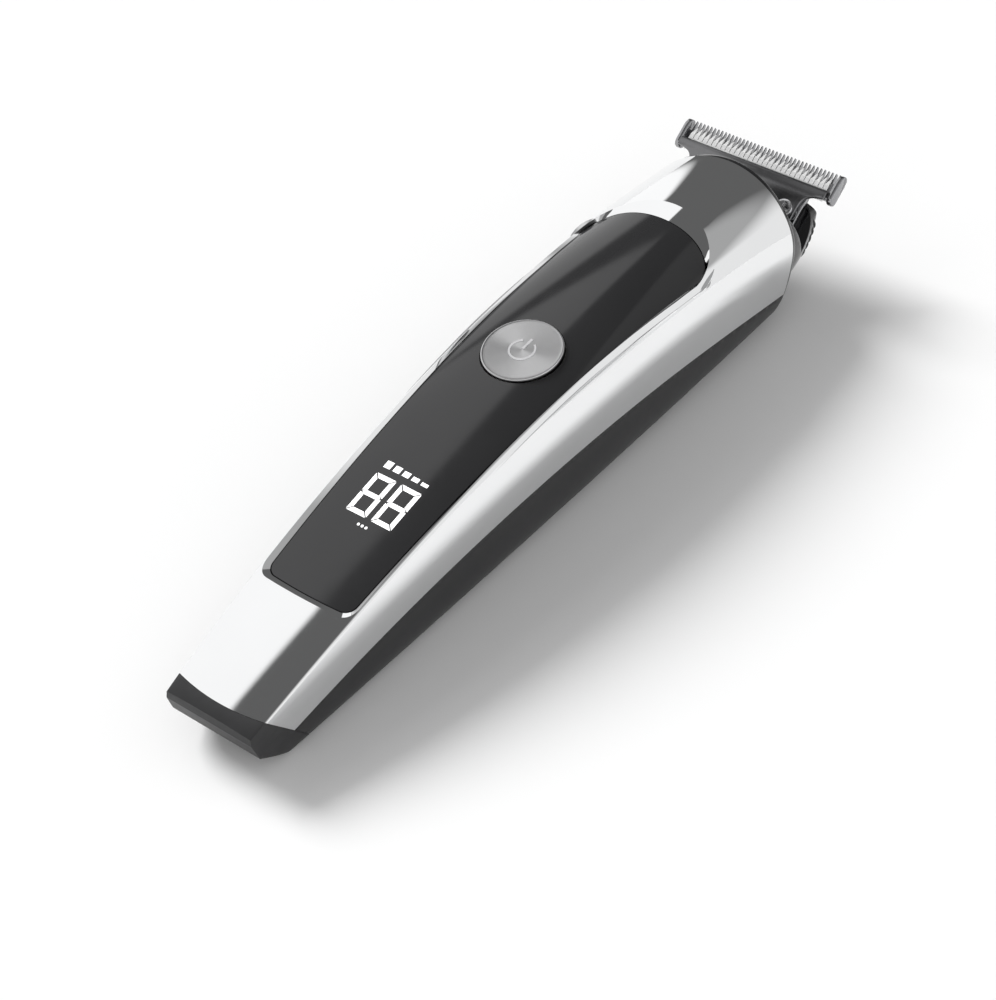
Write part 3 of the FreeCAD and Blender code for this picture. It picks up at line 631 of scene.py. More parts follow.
def bezel_half():
    """Half of the bezel's rim as (u, w): it follows the crease and leaves it towards the head."""
    start, end = panel_start - bezel_foot, panel_end + bezel_head
    turn = end - 14.0
    corner_u = start + 3.4

    def flank_share(u):
        t = min(max((u - 60.0) / (turn - 60.0), 0.0), 1.0)
        return 1.0 + bezel_spread * t * t

    corner_y, turn_y = (outline_at(u, flank_share(u))[0] for u in (corner_u, turn))
    rim = []
    for i in range(foot_count):
        t = i / foot_count
        y = t * (corner_y - 2.6)
        rim.append((start + 0.3 * t * t, cover_share(start + 0.3 * t * t, y)))
    foot_end = (start + 0.3, corner_y - 2.6)
    for i in range(corner_count):
        t = i / corner_count
        u, y = bezier((foot_end, (start + 0.42, corner_y - 1.1), (corner_u - 1.9, corner_y - 0.25),
                       (corner_u, corner_y)), t)
        rim.append((u, cover_share(u, y)))
    for i in range(flank_count):
        u = corner_u + (turn - corner_u) * i / flank_count
        rim.append((u, flank_share(u)))
    rim.append((turn, flank_share(turn)))
    for i in range(1, turn_count + 1):
        u, y = bezier(((turn, turn_y), (turn + 6.5, turn_y - 0.1), (end, turn_y * 0.66), (end, 0.0)),
                      i / turn_count)
        rim.append((u, cover_share(u, y)))
    return rim


def front_cover():
    """Chrome shell: two shoulders, the tail and head patches and the sunk bezel round the panel."""
    rim = bezel_half()
    flank_first = foot_count + corner_count
    turn_first = flank_first + flank_count
    edge_start, edge_end = rim[flank_first], rim[turn_first]

    def edge_share(u):
        """w of the line that the shoulders start from."""
        if u <= edge_start[0]:
            return edge_start[1]
        if u >= edge_end[0]:
            return edge_end[1]
        for (u0, w0), (u1, w1) in zip(rim[flank_first:turn_first], rim[flank_first + 1:]):
            if u0 <= u <= u1:
                return w0 + (w1 - w0) * (u - u0) / (u1 - u0)
        return edge_end[1]

    tail_u = meet(tail_seam_u, edge_share)
    head_u = meet(head_seam_u, edge_share)
    tail_line = [tail_u + (edge_start[0] - tail_u) * i / tail_columns for i in range(tail_columns)]
    head_line = [edge_end[0] + (head_u - edge_end[0]) * i / head_columns
                 for i in range(head_columns + 1)]
    line = tail_line + [u for u, w in rim[flank_first:turn_first]] + head_line
    shares = [(u - tail_u) / (head_u - tail_u) for u in line]
    sheet = Sheet()
    for side in (1, -1):
        rows = []
        for v in shoulder_steps:

            def share(u, v=v):
                top = edge_share(u)
                return top + v * (parting_share(u, parting_gap) - top)

            first, last = meet(tail_seam_u, share), meet(head_seam_u, share)
            stations = [first + f * (last - first) for f in shares]
            rows.append([body_point(u, share(u), side) for u in stations])
        sheet.grid(rows)

    def patch(inner, outer):
        rows = []
        for k in range(patch_rings + 1):
            v = k / patch_rings
            rows.append([signed_point(a[0] + v * (b[0] - a[0]), a[1] + v * (b[1] - a[1]))
                         for a, b in zip(inner, outer)])
        sheet.grid(rows)

    def seam_line(seam, w_limit, count):
        places = []
        for i in range(count + 1):
            w = w_limit * (1 - 2 * i / count)
            places.append((meet(seam, lambda u, w=w: abs(w)), w))
        return places

    def surround(half, line, seam):
        """A patch between half of the bezel's rim and the shoulders' lines with a seam between them."""
        inner = half + [(u, -w) for u, w in reversed(half[:-1])]
        across = len(inner) - 1 - 2 * (len(line) - 1)
        places = seam_line(seam, line[-1][1], across)[1:-1]
        patch(inner, line + places + [(u, -w) for u, w in reversed(line)])

    surround(list(reversed(rim[:flank_first + 1])),
             [edge_start] + [(u, edge_share(u)) for u in reversed(tail_line)], tail_seam_u)
    surround(rim[turn_first:], [(u, edge_share(u)) for u in head_line], head_seam_u)

    opening = mirrored_loop(opening_half(lens_gap))
    brim = mirrored_loop(rim)
    bezel_rows = []
    for k in range(bezel_rings + 1):
        row = []
        for (u0, w0), (u1, y1) in zip(brim, opening):
            high = Vector(signed_point(u0, w0))
            low = Vector(crown_point(u1, y1, panel_inset, -bezel_sink))
            row.append(tuple(high.lerp(low, k / bezel_rings)))
        bezel_rows.append(row)
    lip = [(x, y, z - lip_depth) for x, y, z in bezel_rows[-1]]
    sheet.grid(bezel_rows + [lip], closed=True)
    cover = new_piece("chrome_front_cover", sheet.points, sheet.faces, chrome, merge=2e-7)
    face_out(cover, lambda c: Vector((0, c.y, c.z - 0.006)))
    crisp(cover, bezel_rows[0])
    crisp(cover, bezel_rows[-1])
    finish_mesh(cover, bevel=0.14, solid=chrome_wall, angle=chrome_bevel_angle, segments=3)
    place(cover, "handle", "chrome_cover", "front_cover")


def casing_screw_places():
    """Centre of each casing screw and top of its recess, read from the screws' own mesh."""
    low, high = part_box("housing_screws")
    tail_x = low[0] / MM + screw_head_radius
    middle_x = high[0] / MM - screw_head_radius
    middle_y = high[1] / MM - screw_head_radius
    return [(x, side * y, top) for x, y, top in ((tail_x, tail_screws_half_gap, tail_recess_top),
                                                 (middle_x, middle_y, middle_recess_top))
            for side in (1, -1)]


def rear_cover():
    """Satin black back shell with the screw recesses and a set of grip grooves."""
    columns, rows_across = 150, 68
    sheet = Sheet()
    rows = []
    for k in range(rows_across + 1):
        v = -1 + 2 * k / rows_across

        def share(u, v=v):
            edge = parting_share(u, -parting_gap)
            return edge + (1 - abs(v)) * (4 - edge)

        side = 1 if v >= 0 else -1
        first, last = meet(tail_seam_u, share), meet(head_seam_u, share)
        stations = [first + (last - first) * i / columns for i in range(columns + 1)]
        rows.append([body_point(u, share(u), side) for u in stations])
    sheet.grid(rows)
    cover = new_piece("rear_shell", sheet.points, sheet.faces, satin_black, merge=4e-6)
    face_out(cover, lambda c: Vector((0, c.y, c.z - 0.012)))
    finish_mesh(cover, bevel=0.12, solid=shell_wall, angle=30)
    cutters = [tube(x, y, -2.0, top, screw_recess_radius) for x, y, top in casing_screw_places()]
    cutters += [groove(first_groove + groove_pitch * i) for i in range(groove_count)]
    carve(cover, cutters)
    place(cover, "handle", "satin_black", "rear_cover")


def plug(rings, first_centre, last_centre):
    """A closed cutter from rings of points and the middles of its two ends."""
    sheet = Sheet()
    sheet.grid(rings, closed=True)
    sheet.fan(rings[0], first_centre)
    sheet.fan(rings[-1], last_centre)
    return new_piece("cutter", sheet.points, sheet.faces, satin_black)


def tube(x, y, z0, z1, radius, sides=48):
    """An upright round cutter."""
    angles = [2 * math.pi * i / sides for i in range(sides)]
    rings = [[(x + radius * math.cos(a), y + radius * math.sin(a), z) for a in angles]
             for z in (z0, z1)]
    return plug(rings, (x, y, z0), (x, y, z1))


def groove(u):
    """A shallow rounded channel across the back, for grip."""
    half, depth, width, run_out = 7.2, 0.45, 0.9, 0.8
    angles = [2 * math.pi * i / 16 for i in range(16)]
    profile = [(math.cos(a) * width, math.sin(a) * depth) for a in angles]
    x = u - half_length
    rows = []
    for y, scale in ((-half - run_out, 0.15), (-half, 1.0), (half, 1.0), (half + run_out, 0.15)):
        rows.append([(x + px * scale, y, pz * scale) for px, pz in profile])
    return plug(rows, (x, -half - run_out, 0), (x, half + run_out, 0))


def crisp(piece, loop):
    """Marks the edges along a loop of points as sharp."""
    tree = KDTree(len(loop))
    for i, point in enumerate(loop):
        tree.insert(Vector(point) * MM, i)
    tree.balance()
    with editing(piece.data) as bm:
        marked = {v for v in bm.verts if tree.find(v.co)[2] < 1e-6}
        for edge in bm.edges:
            if edge.verts[0] in marked and edge.verts[1] in marked:
                edge.smooth = False


def carve(piece, cutters):
    """Cuts the cutters out of a piece and removes them."""
    for cutter in cutters:
        cut = piece.modifiers.new("cut", "BOOLEAN")
        cut.operation = "DIFFERENCE"
        cut.solver = "EXACT"
        cut.object = cutter
    apply_modifiers(piece)
    for cutter in cutters:
        bpy.data.objects.remove(cutter)
    with editing(piece.data) as bm:
        bmesh.ops.remove_doubles(bm, verts=bm.verts, dist=1e-6)
        bmesh.ops.holes_fill(bm, edges=[e for e in bm.edges if e.is_boundary], sides=0)
    shade_by_angle(piece, 32)


def shade_by_angle(piece, degrees):
    """Marks edges sharper than the angle, so that only the smooth parts shade smooth."""
    limit = math.radians(degrees)
    with editing(piece.data) as bm:
        for edge in bm.edges:
            if len(edge.link_faces) == 2:
                edge.smooth = edge.calc_face_angle(0) < limit
        for face in bm.faces:
            face.smooth = True


# ---- panel, digits and button -------------------------------------------
def display_panel():
    """Gloss lens with the round hole for the button; its rays run from the hole to the outline."""
    outer = mirrored_loop(opening_half(0.0))
    hole = button_radius + 0.2
    inner = []
    for u, y in outer:
        angle = math.atan2(y, (u - button_at) * 0.55)
        inner.append((button_at + hole * math.cos(angle), hole * math.sin(angle)))
    rows = []
    rings = 44
    for v in (k / rings for k in range(rings + 1)):
        rows.append([crown_point(a[0] + v * (b[0] - a[0]), a[1] + v * (b[1] - a[1]), panel_inset)
                     for a, b in zip(inner, outer)])
    sheet = Sheet()
    sheet.grid(rows, closed=True)
    panel = new_piece("gloss_panel", sheet.points, sheet.faces, panel_lens, merge=2e-6)
    face_out(panel, lambda c: Vector((0, 0, 1)))
    finish_mesh(panel, bevel=0.14, solid=panel_thickness, angle=30, segments=3)
    place(panel, "handle", "panel_black", "display_panel")


def flat_plates(name, outlines, material, lift=0.03, thick=0.12):
    """Thin plates that follow the panel's face; each outline is a loop of (u, y)."""
    points, faces = [], []
    for loop in outlines:
        start = len(points)
        count = len(loop)
        points += [crown_point(u, y, panel_inset, lift) for u, y in loop]
        points += [crown_point(u, y, panel_inset, lift - thick) for u, y in loop]
        faces.append(tuple(range(start, start + count)))
        faces.append(tuple(range(start + 2 * count - 1, start + count - 1, -1)))
        for i in range(count):
            j = (i + 1) % count
            faces.append((start + i, start + count + i, start + count + j, start + j))
    return new_piece(name, points, faces, material, smooth=False)


def seven_segments(start, end, centre, width):
    """The seven bars of a figure eight with mitred ends, as loops of (u, y)."""
    bar = 0.95
    gap = 0.16
    middle = (start + end) / 2
    left, right = centre - width / 2, centre + width / 2
    loops = []
    for u, lean in ((start, 1), (end, -1)):
        loops.append([(u, left + gap), (u, right - gap),
                      (u + lean * bar, right - gap - bar), (u + lean * bar, left + gap + bar)])
    half = bar / 2
    loops.append([(middle, left + gap + 0.1), (middle + half, left + gap + half + 0.1),
                  (middle + half, right - gap - half - 0.1), (middle, right - gap - 0.1),
                  (middle - half, right - gap - half - 0.1), (middle - half, left + gap + half + 0.1)])
    for y, lean in ((left, 1), (right, -1)):
        inner = y + lean * bar
        for low, high, low_lean, high_lean in ((start, middle, 1, 0), (middle, end, 0, 1)):
            a = low + gap
            b = high - gap
            loops.append([(a, y), (b, y), (b - (bar if high_lean else half), inner),
                          (a + (bar if low_lean else half), inner)])
    return loops


def display_digits():
    from_middle, digit_width = 2.95, 4.7
    loops = []
    for centre in (from_middle, -from_middle):
        loops += seven_segments(digits_start, digits_end, centre, digit_width)
    digits = flat_plates("lit_digits", loops, lit_white)
    place(digits, "handle", "display_white", "display_digits")


def row_of(name, shape, count, first, step, material):
    """Lays copies of a shape along a line with Geometry Nodes; returns them as one plain mesh."""
    tree = bpy.data.node_groups.new(name + "_row", "GeometryNodeTree")
    tree.interface.new_socket(name="Geometry", in_out="OUTPUT", socket_type="NodeSocketGeometry")
    for socket, kind in (("Shape", "Object"), ("Count", "Int"), ("First", "Vector"),
                         ("Step", "Vector"), ("Finish", "Material")):
        tree.interface.new_socket(name=socket, in_out="INPUT", socket_type="NodeSocket" + kind)
    inputs, outputs, line, copies, source, real, finish = (tree.nodes.new(kind) for kind in (
        "NodeGroupInput", "NodeGroupOutput", "GeometryNodeMeshLine", "GeometryNodeInstanceOnPoints",
        "GeometryNodeObjectInfo", "GeometryNodeRealizeInstances", "GeometryNodeSetMaterial"))
    for giver, out, taker, into in (
            (inputs, "Count", line, "Count"), (inputs, "First", line, "Start Location"),
            (inputs, "Step", line, "Offset"), (inputs, "Shape", source, "Object"),
            (line, "Mesh", copies, "Points"), (source, "Geometry", copies, "Instance"),
            (copies, "Instances", real, "Geometry"), (real, "Geometry", finish, "Geometry"),
            (inputs, "Finish", finish, "Material"), (finish, "Geometry", outputs, "Geometry")):
        tree.links.new(giver.outputs[out], taker.inputs[into])
    return grown(name, tree, {"Shape": shape, "Count": count, "First": Vector(first) * MM,
                              "Step": Vector(step) * MM, "Finish": material})


def grown(name, tree, values):
    """Runs a Geometry Nodes tree with these input values, keeps its mesh and removes its shape."""
    piece = linked(name, bpy.data.meshes.new(name))
    modifier = piece.modifiers.new("row", "NODES")
    modifier.node_group = tree
    for item in tree.interface.items_tree:
        if item.in_out == "INPUT" and item.name in values:
            modifier[item.identifier] = values[item.name]
    apply_modifiers(piece)
    bpy.data.objects.remove(values["Shape"])
    return piece


def panel_marks():
    """Generic marks round the digits: a row of charge bars above them and three dots below."""
    loops = []
    for i in range(5):
        y = 4.4 - 2.2 * i
        low, high = digits_end + 1.5, digits_end + 2.2 + 0.22 * (4 - i)
        loops.append([(low, y - 0.75), (low, y + 0.75), (high, y + 0.75), (high, y - 0.75)])
    for i in range(3):
        y = 0.9 - 0.9 * i
        loops.append([(digits_start - 1.6 + 0.28 * math.cos(a), y + 0.28 * math.sin(a))
                      for a in [math.pi / 6 * k for k in range(12)]])
    marks = flat_plates("charge_marks", loops, lit_white)
    place(marks, "handle", "display_white")


def button_frame(radius, angle, height):
    """A point round the button's axis; angle 0 points to the head."""
    along = Vector((math.cos(button_slope), 0, math.sin(button_slope)))
    across = Vector((0, 1, 0))
    p = button_seat + along * (radius * math.cos(angle)) + across * (radius * math.sin(angle))
    return tuple(p + button_axis * height)


def power_button():
    """Turned disc with a dished face, a bright rim and fine ridges."""
    segments, ridges = 144, 22
    face, foot, ridge = 0.30, -0.95, 0.006
    profile = [(0.12, face)]
    inner, outer = 0.5, button_radius - 0.55
    for i in range(ridges):
        r = inner + (outer - inner) * i / (ridges - 1)
        dish = face + 0.10 * (r / button_radius) ** 2
        profile.append((r, dish + (ridge if i % 2 else -ridge)))
    profile += [(button_radius - 0.42, 0.40), (button_radius - 0.30, button_proud),
                (button_radius - 0.12, 0.42), (button_radius, 0.26), (button_radius, foot)]
    rows = [[button_frame(r, 2 * math.pi * j / segments, h) for j in range(segments)]
            for r, h in profile]
    sheet = Sheet()
    sheet.grid(rows, closed=True)
    sheet.fan(rows[0], button_frame(0, 0, face))
    sheet.fan(rows[-1], button_frame(0, 0, foot))
    button = new_piece("turned_button", sheet.points, sheet.faces, turned)
    uv = button.data.uv_layers.new(name="UVMap")
    seat = button_seat * MM
    for poly in button.data.polygons:
        mid = poly.center - seat
        base = math.atan2(mid.y, mid.x)
        for loop in poly.loop_indices:
            p = button.data.vertices[button.data.loops[loop].vertex_index].co - seat
            angle = math.atan2(p.y, p.x)
            if p.length < 1e-5:
                angle = base
            while angle - base > math.pi:
                angle -= 2 * math.pi
            while angle - base < -math.pi:
                angle += 2 * math.pi
            uv.data[loop].uv = (angle / (2 * math.pi), p.length / (button_radius * MM))
    place(button, "button", "spun_metal", "power_button")


def power_symbol():
    """Raised standby mark: a broken ring with its bar towards the head."""
    base, top, slope = 0.28, 0.44, 0.08
    inner, outer = 2.2, 2.75
    bar_start, bar_end, bar_half = 0.1, 3.1, 0.32
    opening = math.radians(32)
    steps = 56
    angles = [opening + (2 * math.pi - 2 * opening) * i / steps for i in range(steps + 1)]
    ring = [[button_frame(r, a, h) for a in angles]
            for r, h in ((inner, base), (inner + slope, top), (outer - slope, top), (outer, base))]
    sheet = Sheet()
    sheet.grid(ring + [ring[0]])
    for end in (0, steps):
        sheet.cap([row[end] for row in ring])
    levels = []
    for h, shrink in ((base, 0.0), (top, slope)):
        low, high, half = bar_start + shrink, bar_end - shrink, bar_half - shrink
        levels.append([button_frame(math.hypot(x, y), math.atan2(y, x), h)
                       for x, y in ((low, -half), (high, -half), (high, half), (low, half))])
    sheet.grid(levels, closed=True)
    sheet.cap(levels[1])
    sheet.cap(levels[0], turned=True)
    symbol = new_piece("power_symbol", sheet.points, sheet.faces, symbol_steel, smooth=False)
    place(symbol, "button", "spun_metal")


# ---- cutting head -------------------------------------------------------
def blade_point(s, n, y):
    x = blade_tips + s * math.cos(blade_tilt) - n * math.sin(blade_tilt) - half_length
    z = tip_height + s * math.sin(blade_tilt) + n * math.cos(blade_tilt)
    return (x, y, z)


def prism_faces(count):
    """Faces between two loops of points that follow each other in a list."""
    faces = [tuple(range(count)), tuple(range(2 * count - 1, count - 1, -1))]
    for i in range(count):
        j = (i + 1) % count
        faces.append((i, j, count + j, count + i))
    return faces


def slab(profile, y0, y1):
    """A closed side profile of (s, n) pushed across from y0 to y1, as points and faces."""
    points = [blade_point(s, n, y) for y in (y0, y1) for s, n in profile]
    return points, prism_faces(len(profile))


def joined(name, parts, material, bevel):
    """One piece from several lots of points and faces, with its edges rounded."""
    points, faces = [], []
    for more, their_faces in parts:
        start = len(points)
        points += more
        faces += [tuple(start + i for i in face) for face in their_faces]
    piece = new_piece(name, points, faces, material, smooth=False, merge=1e-7)
    finish_mesh(piece, bevel=bevel)
    shade_by_angle(piece, 35)
    return piece


def tapered_tooth(name, stations, crest, material):
    """One tooth from stations of (s, half width, n low, n high) that run to its tip; crest is the
    share of its width on top."""
    rows = []
    for s, half, n0, n1 in stations:
        rows.append([blade_point(s, n0, -half), blade_point(s, n0, half),
                     blade_point(s, n1, half * crest), blade_point(s, n1, -half * crest)])
    sheet = Sheet()
    sheet.grid(rows, closed=True)
    sheet.cap(rows[0])
    sheet.cap(rows[-1], turned=True)
    return new_piece(name, sheet.points, sheet.faces, material, smooth=False)


def fixed_blade():
    """Toothed base blade with its two wide end teeth and the arms under the screws."""
    t = blade_thickness
    arm_at, arm_half, arm_end = 11.2, 2.2, -13.2
    band_half = blade_half - 0.6
    parts = [slab([(-5.8, -t), (-2.2, -t), (-2.2, -0.15), (-2.5, 0.0), (-5.8, 0.0)],
                  -band_half, band_half)]
    for y in (-arm_at, arm_at):
        parts.append(slab([(arm_end, -t), (-5.7, -t), (-5.7, 0), (arm_end, 0)],
                          y - arm_half, y + arm_half))
    base = joined("fixed_blade_base", parts, fixed_steel, bevel=0.1)
    half = blade_half - end_tooth
    pitch = 2 * half / fixed_teeth
    stations = [(-2.6, 0.25, -t, -0.05), (-1.6, 0.22, -t + 0.1, -0.1), (-0.8, 0.17, -1.0, -0.2),
                (-0.3, 0.13, -0.85, -0.18), (-0.02, 0.1, -0.62, -0.2)]
    tooth = tapered_tooth("tooth", stations, 0.72, fixed_steel)
    row = row_of("fixed_teeth", tooth, fixed_teeth, (0, -half + pitch / 2, 0), (0, pitch, 0),
                 fixed_steel)
    guards = end_guards()
    blade = merged("toothed_fixed_blade", [base, row, guards])
    place(blade, "blade_head", "blade_steel", "fixed_blade")


def end_guards():
    """The wide end teeth: rounded hooks whose foot curls under the blade."""
    parts = []
    outline = [(-0.55, -0.95), (-0.15, -0.35), (-0.1, 0.25), (-0.45, 0.85), (-1.2, 1.28),
               (-2.2, 1.4), (-5.4, 1.4), (-6.1, 1.15), (-6.55, 0.55), (-6.6, -0.2), (-6.3, -0.9),
               (-5.6, -1.2), (-4.4, -1.2), (-2.0, -1.2)]
    for side in (-1, 1):
        inner, outer = side * (blade_half - end_tooth), side * blade_half
        parts.append(slab(outline, min(inner, outer), max(inner, outer)))
    return joined("end_guards", parts, fixed_steel, bevel=0.22)


def merged(name, pieces):
    """Joins finished pieces into one mesh object."""
    bm = bmesh.new()
    for piece in pieces:
        bm.from_mesh(piece.data)
    mesh = bpy.data.meshes.new(name)
    bm.to_mesh(mesh)
    bm.free()
    mesh.materials.append(pieces[0].data.materials[0])
    whole = linked(name, mesh)
    for piece in pieces:
        bpy.data.objects.remove(piece)
    return whole


def moving_blade():
    """Bright reciprocating blade: lands split by thin slots, with ground bevels down to the points."""
    half = blade_half - end_tooth - stroke - 0.15
    low, high = 0.05, 0.85
    band = slab([(-6.4, low), (-4.0, low), (-4.0, high), (-6.4, high)], -half, half)
    tail = slab([(-12.0, low), (-6.3, low), (-6.3, high), (-12.0, high)], -7.2, 7.2)
    base = joined("moving_blade_base", [band, tail], moving_steel, bevel=0.06)
    pitch = 2 * half / moving_teeth
    stations = [(-4.1, pitch / 2 - 0.06, low, high), (-3.05, pitch / 2 - 0.07, low, high),
                (-2.75, pitch / 2 - 0.2, low, high - 0.12), (-2.1, 0.24, low, 0.5),
                (-1.42, 0.08, low, 0.16)]
    tooth = tapered_tooth("tooth", stations, 0.96, moving_steel)
    row = row_of("moving_teeth", tooth, moving_teeth, (0, -half + pitch / 2, 0), (0, pitch, 0),
                 moving_steel)
    blade = merged("bright_moving_blade", [base, row])
    place(blade, "cutter", "blade_steel", "moving_blade")


def guard_plate():
    """Satin T plate with a chamfered front edge and hollow-curved shoulders."""
    low, high = 1.3, 2.1
    top, shoulder, neck, tail = -4.4, -6.4, 13.4, -13.2
    chamfer = 0.62
    half = blade_half - end_tooth - 0.1
    side = [(top, half), (shoulder, half)]
    for i in range(1, 15):
        side.append(bezier(((shoulder, half), (shoulder - 0.2, neck + 0.6), (shoulder - 1.6, neck),
                            (shoulder - 3.4, neck)), i / 14))
    side.append((tail, neck))
    loop = side + [(s, -y) for s, y in reversed(side)]
    points = [blade_point(s, n, y) for n in (high, low) for s, y in loop]
    plate = new_piece("satin_guard_plate", points, prism_faces(len(loop)), plate_steel, smooth=False)

    def on_front(vertex):
        ahead = vertex.co.x / MM + half_length - blade_tips
        raised = vertex.co.z / MM - tip_height
        return abs(ahead * math.cos(blade_tilt) + raised * math.sin(blade_tilt) - top) < 0.02

    middle_height = blade_point(top, (low + high) / 2, 0)[2] * MM
    with editing(plate.data) as bm:
        upper = [e for e in bm.edges if all(on_front(v) for v in e.verts)
                 and e.calc_length() > 0.02 and e.verts[0].co.z > middle_height]
        bmesh.ops.bevel(bm, geom=upper, offset=chamfer * MM, segments=1, affect="EDGES")
    finish_mesh(plate, bevel=0.08, angle=25)
    shade_by_angle(plate, 30)
    place(plate, "blade_head", "plate_steel", "guard_plate")


def head_housing():
    """Gloss black head: the modelled casting with softened edges, and grip ribs on both flanks."""
    housing = copy_of_node("head_housing", "gloss_head_housing", gloss_black, bevel=0.25, angle=30)
    place(housing, "blade_head", "gloss_black", "head_housing")
    sheet = Sheet()
    for side in (-1, 1):
        for k in range(5):
            rise = 0.95 * k
            upright_rib(sheet, housing, side, head_seam + 1.0 + 1.2 * k, 7.2 + rise, 12.0 + rise)
    ribs = new_piece("head_ribs", sheet.points, sheet.faces, gloss_black)
    place(ribs, "blade_head", "gloss_black")


def head_collar():
    """Gloss black rim of the head that shows round the chrome's end."""
    collar_sides = 160
    sheet = Sheet()
    rows = []
    for offset, inset in ((0.14, 0.12), (0.75, 0.14), (1.15, 0.3), (1.3, 0.6)):
        row = []
        for i in range(collar_sides):
            w = -4 + 8 * i / collar_sides
            u = meet(head_seam_u, lambda u, w=w: abs(w), offset)
            row.append(signed_point(u, w, inset))
        rows.append(row)
    sheet.grid(rows, closed=True)
    collar = new_piece("head_collar", sheet.points, sheet.faces, gloss_black, merge=2e-7)
    face_out(collar, lambda c: Vector((0, c.y, c.z - 0.012)))
    finish_mesh(collar, solid=1.6)
    shade_by_angle(collar, 35)
    place(collar, "blade_head", "gloss_black")


def upright_rib(sheet, housing, side, u, low, high):
    """A thin upright ridge laid on the head's flank from one height to another."""
    foot_half, crest_half, foot_sink, root_sink, crest_height = 0.32, 0.1, 0.25, 0.6, 0.38
    x = u - half_length
    inward = Vector((0, -side, 0))
    rows = []
    for k in range(9):
        t = k / 8
        z = low + (high - low) * t
        found, place_at, _, _ = housing.ray_cast(Vector((x, side * 30, z)) * MM, inward)
        y = place_at.y / MM if found else side * 12.0
        foot = y - side * foot_sink
        crest = y + side * (crest_height * math.sin(math.pi * t) ** 0.5)
        rows.append([(x - foot_half, foot, z), (x - crest_half, crest, z),
                     (x + crest_half, crest, z), (x + foot_half, foot, z),
                     (x, y - side * root_sink, z)])
    sheet.grid(rows, closed=True)
    sheet.cap(rows[0])
    sheet.cap(rows[-1], turned=True)


def blade_screws():
    screws = copy_of_node("blade_screws", "blade_screw_pair", screw_zinc, bevel=0.08, angle=30)
    place(screws, "blade_head", "zinc_screw", "blade_screws")


def tail_cap():
    cap = copy_of_node("tail_cap", "matte_tail_cap", matte_cap, bevel=0.14, angle=20)
    place(cap, "handle", "satin_black", "tail_cap")


def head_socket():
    rim = copy_of_node("head_socket", "socket_rim", satin_black, bevel=0.1, angle=30)
    place(rim, "handle", "satin_black", "head_socket")


# ---- inside pieces keep their own shape ----------------------------------
inner_finishes = {
    "housing_screws": screw_dark, "dc_jack": chip_resin, "button_plunger": acetal, "switch_stem": acetal,
    "tact_switch": chip_resin, "circuit_board": circuit_green, "board_screws": screw_zinc,
    "circuit_chips": chip_resin, "display_module": acetal, "battery_cell": battery_wrap,
    "battery_tabs": nickel, "chassis": acetal, "motor_can": motor_steel, "motor_magnets": ferrite,
    "motor_armature": windings, "motor_endcap": chip_resin, "motor_terminals": brass,
    "motor_shaft": motor_steel, "eccentric_cam": acetal, "drive_pin": motor_steel,
    "motor_mount": satin_black, "motor_screws": screw_zinc, "cutter_yoke": acetal, "blade_spacers": fixed_steel,
}


def finish_inner_pieces():
    for name, material in inner_finishes.items():
        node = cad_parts[name]
        node.data.materials.clear()
        node.data.materials.append(material)


# ---- stage, light and camera --------------------------------------------
def floor():
    """Wide, flat, pale floor."""
    half = 6.0
    corners = [(-half, -half, 0), (half, -half, 0), (half, half, 0), (-half, half, 0)]
    mesh = bpy.data.meshes.new("floor")
    mesh.from_pydata(corners, [], [(0, 1, 2, 3)])
    mesh.materials.append(floor_finish())
    linked("floor", mesh)


class Sky:
    """World nodes that paint soft boxes by direction."""

    def __init__(self, world):
        self.nodes, self.links = world.node_tree.nodes, world.node_tree.links
        direction = self.nodes.new("ShaderNodeTexCoord").outputs["Generated"]
        split = self.nodes.new("ShaderNodeSeparateXYZ")
        self.links.new(direction, split.inputs["Vector"])
        self.direction = direction
        self.height = split.outputs["Z"]
        self.level = None

    def beyond(self, plane, soft):
        """0 to 1 across the plane through the eye whose normal is given."""
        dot = self.nodes.new("ShaderNodeVectorMath")
        dot.operation = "DOT_PRODUCT"
        dot.inputs[1].default_value = plane
        self.links.new(self.direction, dot.inputs[0])
        ramp = self.nodes.new("ShaderNodeMapRange")
        ramp.interpolation_type = "SMOOTHSTEP"
        ramp.inputs["From Min"].default_value = -soft
        ramp.inputs["From Max"].default_value = soft
        self.links.new(dot.outputs["Value"], ramp.inputs["Value"])
        return ramp.outputs["Result"]

    def below(self, height, soft):
        ramp = self.nodes.new("ShaderNodeMapRange")
        ramp.inputs["From Min"].default_value = height + soft
        ramp.inputs["From Max"].default_value = height - soft
        self.links.new(self.height, ramp.inputs["Value"])
        return ramp.outputs["Result"]

    def join(self, operation, first, second):
        node = self.nodes.new("ShaderNodeMath")
        node.operation = operation
        for place_in, value in zip(node.inputs, (first, second)):
            if isinstance(value, (int, float)):
                place_in.default_value = value
            else:
                self.links.new(value, place_in)
        return node.outputs["Value"]

    def add(self, brightness, *masks):
        part = brightness
        for mask in masks:
            part = self.join("MULTIPLY", mask, part)
        self.level = part if self.level is None else self.join("MAXIMUM", self.level, part)


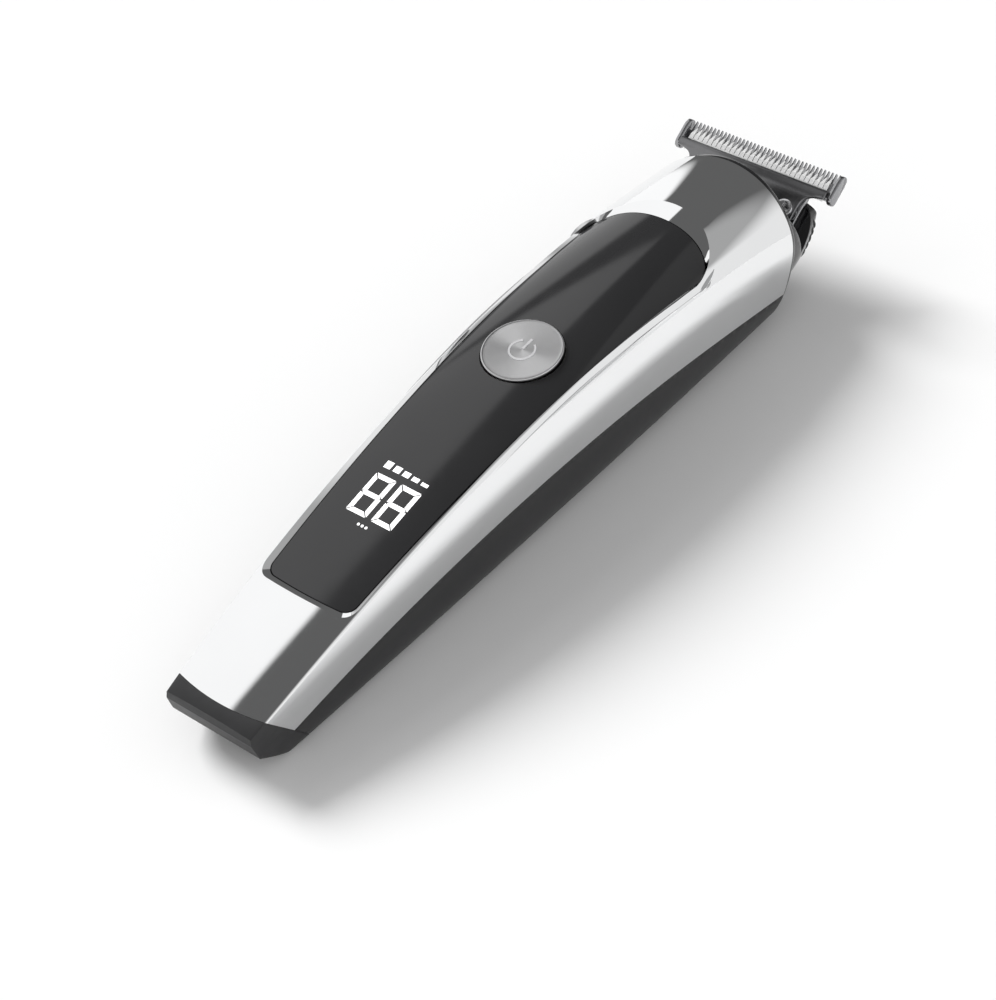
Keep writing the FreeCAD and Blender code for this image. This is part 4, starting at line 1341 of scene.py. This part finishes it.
# Every plane below is the normal of a plane through the eye, with the softness of its edge.
ambient = 0.125
front_box = (1.08, ((0.14, 1.0, -0.612), 0.012), ((-1.0, 0.0, 0.89), 0.02))
low_box = (1.1, ((-1.105, 1.0, 0.265), 0.02))
low_box_top, low_box_soft = 0.47, 0.03
lens_box = (0.42, ((-0.2, -0.155, 0.199), 0.015), ((0.0, -1.0, 0.06), 0.03))
under_box = (0.9, ((0.0, -1.0, -0.62), 0.3))
key_strength = 3.4
key_width = math.radians(24)
key_direction = Vector((-0.1, -0.85, -0.62))

camera_lens = 93.6
camera_place = (-0.25599, -0.24997, 0.34190)
camera_right = Vector((0.62562, -0.77253, -0.10856))
camera_up = Vector((0.59395, 0.38146, 0.70832))
camera_back = Vector((-0.50579, -0.50762, 0.69749))


def studio():
    """World of soft boxes painted by direction, and a broad sun that mirrors don't show."""
    world = bpy.data.worlds.new("studio")
    world.use_nodes = True
    bpy.context.scene.world = world
    sky = Sky(world)

    def box(parts, *masks):
        sky.add(parts[0], *[sky.beyond(plane, soft) for plane, soft in parts[1:]], *masks)

    sky.add(ambient, 1.0)
    box(front_box)
    box(low_box, sky.below(low_box_top, low_box_soft))
    box(lens_box)
    box(under_box)
    background = world.node_tree.nodes["Background"]
    background.inputs["Color"].default_value = (1, 1, 1, 1)
    sky.links.new(sky.level, background.inputs["Strength"])
    key = bpy.data.lights.new("key", "SUN")
    key.energy = key_strength
    key.angle = key_width
    lamp = linked("key", key)
    lamp.rotation_euler = key_direction.to_track_quat("-Z", "Y").to_euler()
    lamp.visible_glossy = False


def camera():
    data = bpy.data.cameras.new("camera")
    data.lens = camera_lens
    data.sensor_width = 36
    data.clip_start, data.clip_end = 0.01, 20
    view = linked("camera", data)
    turn = Matrix((camera_right, camera_up, camera_back)).transposed()
    view.matrix_world = Matrix.Translation(camera_place) @ turn.to_4x4()
    bpy.context.scene.camera = view


camera()
front_cover()
rear_cover()
tail_cap()
head_socket()
display_panel()
display_digits()
panel_marks()
power_button()
power_symbol()
head_housing()
head_collar()
fixed_blade()
moving_blade()
guard_plate()
blade_screws()
finish_inner_pieces()
floor()
studio()
bpy.context.scene.view_settings.view_transform = "Standard"
